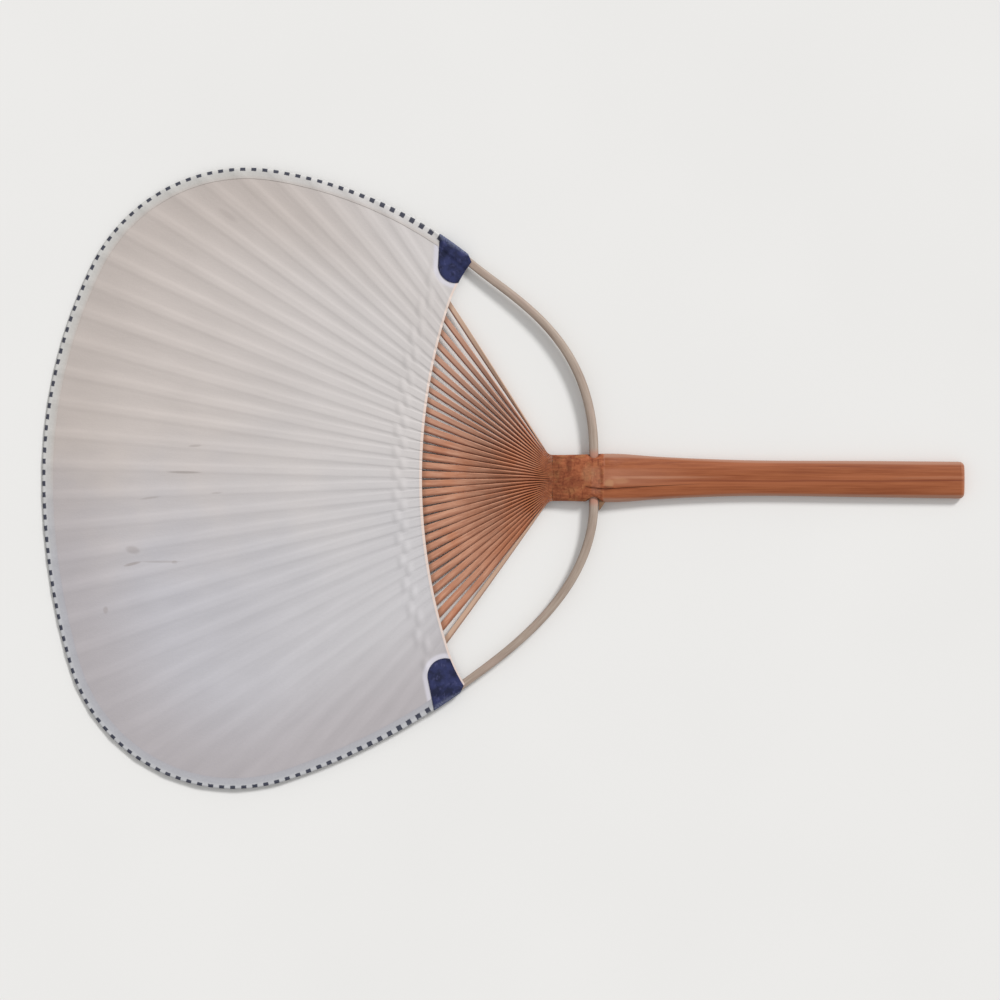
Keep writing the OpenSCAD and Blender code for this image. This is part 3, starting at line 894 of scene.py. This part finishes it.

# %% [markdown]
# ## The ribs
# Each rib is a strip of the split bamboo wall. It leaves the neck standing on its edge,
# because the wall of the bamboo is thicker than the rib is wide there, and it is twisted
# until it lies flat between the papers. The ribs of the middle and the lower half are
# broader just before the papers and turn as flat as their neighbours leave room for. The
# lower edge is painted dark red, partly the stain of its split face and partly painted
# shade between the ribs, stronger on the upper half; the upper edge keeps the paler wood.
# A painted shadow of the papers' inner edge lies on the ribs beside it, and painted shade
# darkens their roots at the neck.

# %% Ribs
RIB_BEVEL = 0.1
RIB_END_INSET = 0.8
FLAT_BEFORE_PAPER = 2
BEND_RINGS = 4
TWIST_RINGS = 22
RIB_FILL = 0.95
TURN_EASE = 0.2
UNDER_PAPER = (0, 0.03, 0.07, 0.12, 0.5, 1)
RIB_SECTION = [(-1, -1, -1, 0), (-1, -1, 0, -1), (1, -1, 0, -1), (1, -1, 1, 0),
               (1, 1, 1, 0), (1, 1, 0, 1), (-1, 1, 0, 1), (-1, 1, -1, 0)]


def rib_stations(k):
    """Places along rib k: point, bearing, drop, turn from upright and width."""
    angle = rib_angle(k)
    drop = RIB_ROOT_DROP * (k / LAST_RIB) ** 2
    stations = []
    for n in range(BEND_RINGS):
        bent = angle * n / BEND_RINGS
        stations.append((rib_bend(k, bent), rib_way(bent), drop, 0, RIB_W))
    root, way = rib_bend(k, angle), rib_way(angle)
    column = Column(k)
    twist = (column.start - root).length - FLAT_BEFORE_PAPER
    for n in range(TWIST_RINGS + 1):
        share = n / TWIST_RINGS
        width = mix(RIB_W, rib_width(k, 0, 0), share)
        pitch = RIB_PITCH + share * twist * radians(RIB_STEP)
        as_room_allows = degrees(asin(min(1, RIB_FILL * pitch / width))) * smooth(share / TURN_EASE)
        turn = max(90 * share, mix(as_room_allows, 90 * share, upper_share(k)))
        stations.append((root + share * twist * way, way, drop * (1 - share), turn, width))
    for share in UNDER_PAPER:
        distance = share * (column.rim - RIB_END_INSET)
        stations.append((column.at(distance), way, 0, 90, rib_width(k, distance, share)))
    return stations


def rib_corner(station, corner):
    """A corner of the rib's section, with its sharp edges taken off."""
    point, way, drop, turn, width = station
    broad_side, thin_side, broad_cut, thin_cut = corner
    broad = broad_side * (width / 2 - (RIB_BEVEL if thin_cut else 0))
    thin = thin_side * (RIB_T / 2 - (RIB_BEVEL if broad_cut else 0))
    up, flat = cos(radians(turn)), sin(radians(turn))
    at = point + across(way) * (flat * broad + up * thin)
    return Vector((at.x, at.y, leaf_z(at.x) + up * broad - flat * thin - drop))


def bamboo_grain(finish, vector, along, around):
    """Fine long fibres: noise that is drawn out along the first coordinate."""
    coarse = finish.noise(vector, (along, around, around), roughness=0.6)
    fine = finish.noise(vector, (along * 3, around * 4, around * 4), roughness=0.7)
    return coarse * 0.6 + fine * 0.4


def culm_skin(finish, place, share):
    """The rough skin of the culm at its node: red and orange brown patches with dark strokes."""
    fibre = finish.noise(place, (0.4, 0.7, 0.7), detail=4, roughness=0.65)
    patch = finish.noise(finish.moved(place, (0, 30, 0)), (0.2, 0.3, 0.2), roughness=0.6)
    stroke = finish.noise(finish.moved(place, (40, 7, 0)), (0.8, 0.3, 0.5), roughness=0.6)
    wood = finish.colour
    finish.base(fibre.rise(0.3, 0.7), (130, 64, 36), (172, 100, 64))
    finish.coat(patch.rise(0.5, 0.7) * 0.6, 166, 112, 70)
    finish.coat(stroke.rise(0.54, 0.68) * 0.6, 102, 42, 22)
    finish.colour = finish.mix(share, wood, finish.colour)


def rib_finish():
    finish = Finish("split_bamboo", 0.6, specular=0.28)
    place = finish.place()
    x, y = finish.parts(place, "XY")
    along, edge, k = finish.parts(finish.run())
    grain = bamboo_grain(finish, finish.run(), 0.12, 3.1)
    patchy = finish.noise(place, 0.12)
    finish.base(grain.rise(0.35, 0.7), (176, 120, 94), (208, 156, 128))
    finish.coat(along.rise(30, 8) * 0.5 + patchy.rise(0.45, 0.7) * 0.35, 186, 112, 72)
    finish.coat(k.rise(0, 13) * along.rise(8, 34) * 0.5, 196, 160, 142)
    finish.coat(abs(k).rise(LAST_RIB - 0.6, LAST_RIB - 0.1) * 0.7, 202, 176, 154)
    culm_skin(finish, place, along.rise(15, 1) * 0.85)
    # Dark red lower edge of each rib: partly the stain of the split face, partly painted shade between
    # the ribs, stronger on the upper half.
    finish.coat(edge.rise(0.4, 0.05) * (0.55 + k.rise(-4, 6) * 0.35) * along.rise(0, 14), 96, 46, 30)
    right, up = x - THREAD_CENTRE.x, y - THREAD_CENTRE.y
    # Painted shadow of the papers' inner edge on the ribs just outside it.
    paper_edge_shadow = ((right * right + up * up) ** 0.5 - INNER_EDGE_R).rise(-2.4, -0.4)
    finish.coat(paper_edge_shadow * 0.4, 92, 66, 48)
    # Painted shade near the neck: darkens the rib roots, whose lit edges stand brighter than the node
    # beside them.
    finish.shade(1 - along.rise(9, 2) * 0.12)
    return finish.done(grain, 0.1, roughness=0.7 - grain * 0.2)


def make_ribs():
    mesh = new_mesh()
    for k in range(-LAST_RIB, LAST_RIB + 1):
        stations = rib_stations(k)

        def place(i, j):
            station = stations[i]
            along = (station[0] - stations[0][0]).length
            edge = 1 if RIB_SECTION[j][0] > 0 else 0
            return rib_corner(station, RIB_SECTION[j]), (along, edge, k)

        add_rod(mesh, len(stations), len(RIB_SECTION), place)
    dress(to_data("fan_ribs", mesh), rib_finish(), "ribs", crease=30)


make_ribs()

# %% [markdown]
# ## The thread
# Two rows of cotton thread are woven over and under the ribs, each row opposite to the
# other, and the pasted papers press them flatter. Only their print shows, but they are
# there.

# %% Thread
THREAD_SIDES = 8
THREAD_STEP = 0.125
THREAD_ENDS = 3
THREAD_GAP = 0.2
THREAD_STEP_MM = 0.4


def thread_finish():
    finish = Finish("cotton_thread", 0.85, specular=0.2)
    along, turn = finish.parts(finish.run(), "XY")
    ply = abs(((along * 1.6 + turn * 2).fract() - 0.5) * 2)
    finish.base(ply, (226, 220, 206), (198, 190, 172))
    return finish.done(ply, 0.05)


def thread_line(row):
    """Middle line of a row of thread, from one arm of the bow to the other."""
    points = []
    count = int(2 * (LAST_RIB + THREAD_ENDS) / THREAD_STEP)
    for n in range(count + 1):
        k = -LAST_RIB - THREAD_ENDS + n * THREAD_STEP
        column = Column(k)
        distance = column.to_thread(THREAD_ROWS[row])
        if distance < column.to_rim(-TAPE_W - THREAD_GAP):
            height = thread_wave(row, k) * (RIB_T + THREAD_PRESSED) / 2
            points.append(lifted(column.at(distance), UP, height))
    return points


def make_thread():
    mesh = new_mesh()
    for row in range(len(THREAD_ROWS)):
        points = thread_line(row)

        def place(i, j):
            ahead = points[min(len(points) - 1, i + 1)] - points[max(0, i - 1)]
            out = across(ahead.xy.normalized())
            angle = 360 * j / THREAD_SIDES
            ring = polar(0.5, angle)
            wide = out * ring.x * THREAD_D
            point = points[i] + Vector((wide.x, wide.y, ring.y * THREAD_PRESSED))
            return point, (i * THREAD_STEP_MM, abs(angle / 180 - 1), 0)

        add_rod(mesh, len(points), THREAD_SIDES, place)
    dress(to_data("woven_thread", mesh), thread_finish(), "binding_thread")


make_thread()

# %% [markdown]
# ## The bow
# The bow is a round-edged bamboo strip without stain. It goes through the handle just
# before the node's edge, bends forward on both sides and runs on between the papers, thinner and
# flatter there. A Bezier curve from the hole to each ear has the bend of such a strip.

# %% Bow
BOW_HOLE_REACH = 16.4
NODE_W = 19.5
BOW_W = 3.7
BOW_T = 3.2
BOW_TIP_W = 3.2
BOW_TIP_T = 1.4
BOW_GAP = 0.3
BOW_PULL = {UP: (46, 23), DOWN: (36, 22)}
BOW_TIP_STEP = 1.95
BOW_HOLE_STEPS = 4
BOW_FREE_STEPS = 60
BOW_EAR_STEPS = 14
BOW_SIDES = 20
BOW_POWER = 2.6
BOW_END_W = 0.55
BOW_END_L = 2
BOW_THINNING = 1.5
HOLE_X = NECK_X + BOW_HOLE_REACH
BOW_LIFT = NECK_LIFT + 0.1


def bow_ear_point(step, side):
    column = Column(side * (LAST_RIB + step))
    return flip(column.at(column.to_rim(-BOW_GAP - BOW_TIP_W / 2)), side)


def bow_path(side):
    """Middle line of one arm, on the upper half, with its share of the way to the ear."""
    leave_at = Vector((HOLE_X, NODE_W / 2))
    ear = bow_ear_point(LAST_EAR_STEP, side)
    spoke = (ear - RIM[side][2][0]).normalized()
    tangent = Vector((-spoke.y, spoke.x))
    out = leave_at + Vector((0, BOW_PULL[side][0]))
    back = ear - BOW_PULL[side][1] * tangent
    in_handle = [leave_at.y * n / BOW_HOLE_STEPS for n in range(BOW_HOLE_STEPS + 1)]
    path = [(Vector((HOLE_X, y)), 0) for y in in_handle]
    for n in range(1, BOW_FREE_STEPS + 1):
        t = n / BOW_FREE_STEPS
        s = 1 - t
        path.append((leave_at * s ** 3 + out * 3 * s * s * t + back * 3 * s * t * t + ear * t ** 3, t))
    for n in range(1, BOW_EAR_STEPS + 1):
        step = mix(LAST_EAR_STEP, BOW_TIP_STEP, n / BOW_EAR_STEPS)
        path.append((bow_ear_point(step, side), 1))
    return path


def squared(value, power):
    """Rounds a square: turns a sine or cosine into a corner of that power."""
    return (1 if value >= 0 else -1) * abs(value) ** (2 / power)


def bare_finish():
    finish = Finish("bare_bamboo", 0.5, specular=0.4)
    beside = finish.parts(finish.run(), "Y")[0]
    grain = bamboo_grain(finish, finish.run(), 0.08, 2.6)
    patchy = finish.noise(finish.run(), (0.06, 0.4, 0.4), detail=2)
    y = finish.parts(finish.place(), "Y")[0]
    finish.base(grain.rise(0.3, 0.7), (150, 131, 118), (177, 161, 147))
    finish.coat(patchy.rise(0.5, 0.75) * 0.5, 174, 151, 139)
    finish.coat(abs(y).rise(12.5, 9) * 0.7, 184, 120, 96)
    finish.coat(abs(beside).rise(0.75, 1) * 0.4, 122, 102, 86)
    return finish.done(grain, 0.12, roughness=0.58 - grain * 0.15)


def make_bow():
    path = [(flip(point, DOWN), share) for point, share in reversed(bow_path(DOWN))] + bow_path(UP)[1:]
    lengths = [0]
    for before, after in zip(path, path[1:]):
        lengths.append(lengths[-1] + (after[0] - before[0]).length)

    def place(i, j):
        point, share = path[i]
        ahead = (path[min(len(path) - 1, i + 1)][0] - path[max(0, i - 1)][0]).normalized()
        from_end = min(lengths[i], lengths[-1] - lengths[i])
        taper = mix(BOW_END_W, 1, smooth(from_end / BOW_END_L))
        width = mix(BOW_W, BOW_TIP_W, share) * taper
        depth = mix(BOW_T, BOW_TIP_T, share ** BOW_THINNING)
        angle = 2 * pi * j / BOW_SIDES
        beside, up = squared(cos(angle), BOW_POWER), squared(sin(angle), BOW_POWER)
        at = point + across(ahead) * beside * width / 2
        height = mix(BOW_LIFT, leaf_z(at.x), share) + up * depth / 2
        return Vector((at.x, at.y, height)), (lengths[i], beside, share)

    mesh = new_mesh()
    add_rod(mesh, len(path), BOW_SIDES, place)
    print("bow is", round(lengths[-1]), "mm long")
    dress(to_data("bamboo_bow", mesh), bare_finish(), "bow")


make_bow()

# %% [markdown]
# ## The wedge
# A sliver of bamboo is driven into the hole beside the lower arm and keeps the bow from
# sliding. It starts as four corners, is pulled up into a block and gets its edges rounded.

# %% Wedge
WEDGE_T = 1.6
WEDGE_W = 3.2
WEDGE_EDGE = 0.25
WEDGE_AT = (HOLE_X + 2, -NODE_W / 2)
WEDGE_CORNERS = [(0, 3.4), (0, -3.6), (WEDGE_W, 1), (1.4, 3.4)]


def wedge_finish():
    finish = Finish("wedge_bamboo", 0.65, specular=0.3)
    grain = bamboo_grain(finish, finish.place(), 3, 0.4)
    finish.base(grain, (104, 74, 52), (154, 120, 92))
    return finish.done(grain, 0.15)


def make_wedge():
    mesh = new_mesh()
    low = BOW_LIFT - WEDGE_T / 2
    corners = [mesh.verts.new((WEDGE_AT[0] + x, WEDGE_AT[1] + y, low)) for x, y in WEDGE_CORNERS]
    base = mesh.faces.new(corners)
    top = bmesh.ops.extrude_face_region(mesh, geom=[base])["geom"]
    raised = [part for part in top if isinstance(part, bmesh.types.BMVert)]
    bmesh.ops.translate(mesh, vec=(0, 0, WEDGE_T), verts=raised)
    bmesh.ops.recalc_face_normals(mesh, faces=mesh.faces[:])
    bmesh.ops.bevel(mesh, geom=mesh.edges[:], offset=WEDGE_EDGE, offset_type="OFFSET", segments=2,
                    profile=0.5, affect="EDGES", material=-1)
    dress(to_data("bow_sliver", mesh), wedge_finish(), "bow_wedge")


make_wedge()

# %% [markdown]
# ## The handle
# The handle is the flattened culm below the split. It is widest and thickest at the node,
# has a waist, and its underside is shaved flat. The rings of the loft follow the same
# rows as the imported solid, with more of them. The loft goes a little below the plane that
# the fan rests on and is cut level there. The hole for the bow and the long crack beside
# it are cut with the Boolean modifier, which is applied at once.

# %% Handle
SHAVED = -0.4
WAIST_W = 14.2
END_W = 14.8
NODE_T = 7
GRIP_T = 5
GRIP_DRIFT = 0.9
HANDLE_ROUND = 2
HANDLE_POWER = 2.8
HANDLE_SIDES = 48
HANDLE_STEPS = 150
TIP_STEPS = 8
HANDLE_L = END_X - NECK_X
HANDLE_ROWS = [
    (0, NECK_W, 1.9, 4.9, 0), (5, NECK_W, 1, 5.6, 0), (11, NECK_W + 0.3, 0.2, NODE_T - 0.4, 0),
    (17, NODE_W - 0.3, SHAVED, NODE_T - 0.1, 0), (22, NODE_W, SHAVED, NODE_T, 0),
    (29, NODE_W - 0.4, SHAVED, NODE_T - 0.7, 0),
    (42, mix(WAIST_W, NODE_W, 0.55), SHAVED, GRIP_T + 0.6, 0),
    (60, mix(WAIST_W, NODE_W, 0.22), SHAVED, GRIP_T + 0.2, 0),
    (85, WAIST_W, SHAVED, GRIP_T, 0.1 * GRIP_DRIFT),
    (125, mix(WAIST_W, END_W, 0.6), SHAVED, GRIP_T, 0.5 * GRIP_DRIFT),
    (HANDLE_L, END_W, SHAVED, GRIP_T - 0.2, GRIP_DRIFT)]
WIDEST_AT = 0.42
NODE_EDGE = 20.2
PLANED = 0.16
PLANED_STEP = 0.8
PLANED_TO = 40
PLANED_FADE = 16
START_EASE = 0.4
START_EASE_L = 2.5


def smooth_row(place):
    """A row of numbers between the given ones, on a smooth curve through them."""
    i = min(floor(place), len(HANDLE_ROWS) - 2)
    t = place - i
    a, b, c, d = (HANDLE_ROWS[max(0, min(len(HANDLE_ROWS) - 1, i + n))] for n in (-1, 0, 1, 2))
    return [q + t * ((r - p) / 2 + t * (p - 2.5 * q + 2 * r - s / 2
                                        + t * (1.5 * q - 1.5 * r + (s - p) / 2)))
            for p, q, r, s in zip(a, b, c, d)]


def handle_stations():
    """Rings of the handle: distance, row of sizes and trim at the rounded free end."""
    stations = []
    for n in range(HANDLE_STEPS):
        row = smooth_row((len(HANDLE_ROWS) - 1) * n / HANDLE_STEPS)
        stations.append((row[0], row, 0))
    for n in range(TIP_STEPS + 1):
        turn = radians(90 * n / TIP_STEPS)
        distance = HANDLE_L - HANDLE_ROUND * (1 - sin(turn))
        stations.append((distance, HANDLE_ROWS[-1], HANDLE_ROUND * (1 - cos(turn))))
    return sorted(stations, key=lambda station: station[0])


def handle_body():
    stations = handle_stations()

    def place(i, j):
        distance, row, trim = stations[i]
        low, top = row[2], min(row[3], NODE_T)
        middle = mix(low, top, WIDEST_AT)
        angle = 2 * pi * j / HANDLE_SIDES
        side, up = squared(cos(angle), HANDLE_POWER), squared(sin(angle), HANDLE_POWER)
        planed = PLANED * smooth((distance - NODE_EDGE + 0.5) / PLANED_STEP)
        planed *= smooth((PLANED_TO - distance) / PLANED_FADE)
        planed += START_EASE * (1 - smooth(distance / START_EASE_L))
        height = (top - middle if up > 0 else middle - low) - trim / 2 - (planed if up > 0 else 0)
        y = (row[1] / 2 - trim) * side - row[4]
        return Vector((NECK_X + distance, y, middle + up * height)), (distance, side, up)

    mesh = new_mesh()
    add_rod(mesh, len(stations), HANDLE_SIDES, place)
    bmesh.ops.holes_fill(mesh, edges=cut_off(mesh, (0, 0, 0), (0, 0, -1)), sides=0)
    return mesh


print("handle is", round(HANDLE_L, 1), "mm long")

# %% Cutters for the hole and the crack
HOLE_D = 4
MOUTH_D = 7.4
UPPER_MOUTH_D = 5.2
MOUTH_DEPTH = 3
MOUTH_FLARE = 1.13
MOUTH_OUT = 1
HOLE_SIDES = 40
CRACK = [(32.1, -3.0), (34, -3.6), (36.2, -4.0), (41, -4.4), (47.4, -4.0), (60, -3.3), (79, -2.4)]
CRACK_DEPTH = 1
CRACK_ABOVE = 0.6
CRACK_W = 0.5
CRACK_START_W = 0.25
CRACK_END_W = 0.05


def hole_cutter():
    """A revolved profile: a round hole with a funnel at each end, the wide one for the wedge."""
    mesh = new_mesh()
    mouth, hole = NODE_W / 2, HOLE_D / 2
    low, high = MOUTH_D / 2, UPPER_MOUTH_D / 2
    out = mouth + MOUTH_OUT
    profile = [(0, -out), (low * MOUTH_FLARE, -out), (low, -mouth), (hole, -mouth + MOUTH_DEPTH),
               (hole, mouth - MOUTH_DEPTH), (high, mouth), (high * MOUTH_FLARE, out), (0, out)]
    corners = [mesh.verts.new((HOLE_X + radius, y, BOW_LIFT)) for radius, y in profile]
    edges = [mesh.edges.new(pair) for pair in zip(corners, corners[1:])]
    bmesh.ops.spin(mesh, geom=corners + edges, cent=(HOLE_X, 0, BOW_LIFT), axis=(0, 1, 0),
                   dvec=(0, 0, 0), angle=2 * pi, steps=HOLE_SIDES, use_merge=True, use_duplicate=False)
    bmesh.ops.remove_doubles(mesh, verts=mesh.verts[:], dist=WELD_MM)
    return mesh


def crack_cutter():
    """A thin blade along the crack, with its sharp edge down in the handle's top."""
    mesh = new_mesh()
    last = len(CRACK) - 1
    heights = [station[1] for station in handle_stations()]

    def place(i, j):
        x, y = CRACK[i]
        opening = CRACK_END_W
        if 0 < i < last:
            opening = CRACK_W * mix(CRACK_START_W, 1, sin(pi * i / last) ** 0.5)
        top = [row[3] for row in heights if row[0] <= x - NECK_X][-1]
        beside = (-opening / 2, opening / 2, 0)[j]
        height = (CRACK_ABOVE, CRACK_ABOVE, -CRACK_DEPTH)[j]
        return Vector((x, y + beside, top + height)), (0, 0, 0)

    add_rod(mesh, len(CRACK), 3, place)
    return mesh


def cut_away(body, cutters):
    """Cuts each cutter out of the body's mesh and returns the cut mesh."""
    for cutter in cutters:
        cut = body.modifiers.new(cutter.name, "BOOLEAN")
        cut.operation = "DIFFERENCE"
        cut.solver = "EXACT"
        cut.object = cutter
    finished = body.evaluated_get(bpy.context.evaluated_depsgraph_get())
    data = bpy.data.meshes.new_from_object(finished)
    for used in [body] + cutters:
        bpy.data.objects.remove(used)
    return data


uncut = add_object("uncut_handle", to_data("uncut_handle", handle_body()))
cutters = {"hole_cutter": hole_cutter(), "crack_cutter": crack_cutter()}
handle_data = cut_away(uncut, [add_object(name, to_data(name, mesh)) for name, mesh in cutters.items()])
handle_data.name = "handle_grip"
print("handle cut:", len(handle_data.polygons), "faces,", len(handle_data.materials), "materials")

# %% [markdown]
# ## The finish of the handle
# The bamboo is stained orange brown. From the neck to the node's edge the culm's rough,
# redder skin with its short fibres is left. Past that edge the wood is planed smooth,
# with long straight grain, a pale line down the middle and pale rubbed edges.

# %% Finish of the handle
HANDLE_SPOTS = [
    (42.4, -2.2, 1.9, 1.7, 0, 0.6), (34, 1.6, 2.6, 3.4, 0, 0.3), (47, -1.2, 3.4, 1.2, 0, 0.35)]
HANDLE_STROKES = [
    (26.5, 4.8, 3.8, 1.1, 88, 0.6), (28.6, -1.8, 4, 2.4, 10, 0.35), (39.4, 1, 3.6, 0.7, 96, 0.45),
    (41, -4.1, 3.2, 0.9, 4, 0.7), (50, -3.9, 8, 0.6, 4, 0.45), (36, -3.9, 3, 0.7, -12, 0.5)]


def handle_finish():
    finish = Finish("stained_bamboo", 0.45, specular=0.28)
    place = finish.place()
    x, y = finish.parts(place, "XY")
    distance = x - NECK_X
    waver = finish.noise(place, (0.03, 0.3, 0.3), detail=2)
    grain = bamboo_grain(finish, place, 0.035, 1.5)
    long_band = finish.noise(place, (0.012, 0.45, 0.1), roughness=0.6)
    finish.base(grain.rise(0.3, 0.7), (132, 66, 34), (162, 94, 56))
    finish.coat(long_band.rise(0.45, 0.7) * 0.6, 172, 102, 66)
    finish.coat(long_band.rise(0.5, 0.3) * 0.5, 118, 58, 34)
    finish.coat(distance.rise(64, 24) * abs(y - 0.3).rise(4.4, 2.4) * 0.6, 170, 112, 86)
    middle = abs(y - 0.1 + (waver - 0.5) * 1.2).rise(0.8, 0.2) * (0.5 + grain)
    reach_in = distance.rise(20, 26) * distance.rise(78, 40) + distance.rise(130, 145) * 0.4
    finish.coat(middle * reach_in * 0.6, 186, 132, 104)
    under = abs(y + 1.2 + (waver - 0.5) * 1.2).rise(0.6, 0.1)
    finish.coat(under * distance.rise(24, 60) * 0.55, 108, 46, 28)
    half = 9.6 - distance.rise(24, 85) * 2.4
    rim = (abs(y + 0.8 * distance.rise(60, 165)) / half).rise(0.78, 0.92)
    finish.coat(rim * 0.8, 172, 130, 110)
    rough = (distance + (waver - 0.5) * 2).rise(NODE_EDGE + 0.5, NODE_EDGE - 0.5)
    fibre = finish.noise(place, (0.45, 0.9, 0.9), detail=4, roughness=0.7)
    fleck = finish.noise(place, (0.22, 0.5, 0.5), detail=4, roughness=0.65)
    culm_skin(finish, place, rough)
    channel = abs(x - HOLE_X - 0.8).rise(2.2, 1.4) * abs(y + 1).rise(6.5, 4)
    finish.coat(channel * 0.3, 176, 120, 96)
    finish.coat(marks_on(x, y, HANDLE_SPOTS) * (0.6 + fibre * 0.6), 190, 142, 104)
    finish.coat(marks_on(x, y, HANDLE_STROKES) * (0.6 + fibre * 0.6), 100, 44, 24)
    slit = abs((y / RIB_PITCH + 0.5).fract() - 0.5).rise(0.34, 0.5)
    slit = slit * (distance + fleck * 12).rise(14, 6)
    finish.coat(slit * 0.25, 104, 50, 30)
    finish.coat(distance.rise(HANDLE_L - 1.2, HANDLE_L - 0.2) * 0.5, 176, 128, 104)
    relief = grain * (1 - rough) * 0.35 + rough * (fibre * 0.8 + fleck * 0.5) - slit * 0.8
    return finish.done(relief, 0.35, roughness=0.4 + rough * 0.25 + grain * 0.1)


dress(handle_data, handle_finish(), "handle", crease=35)
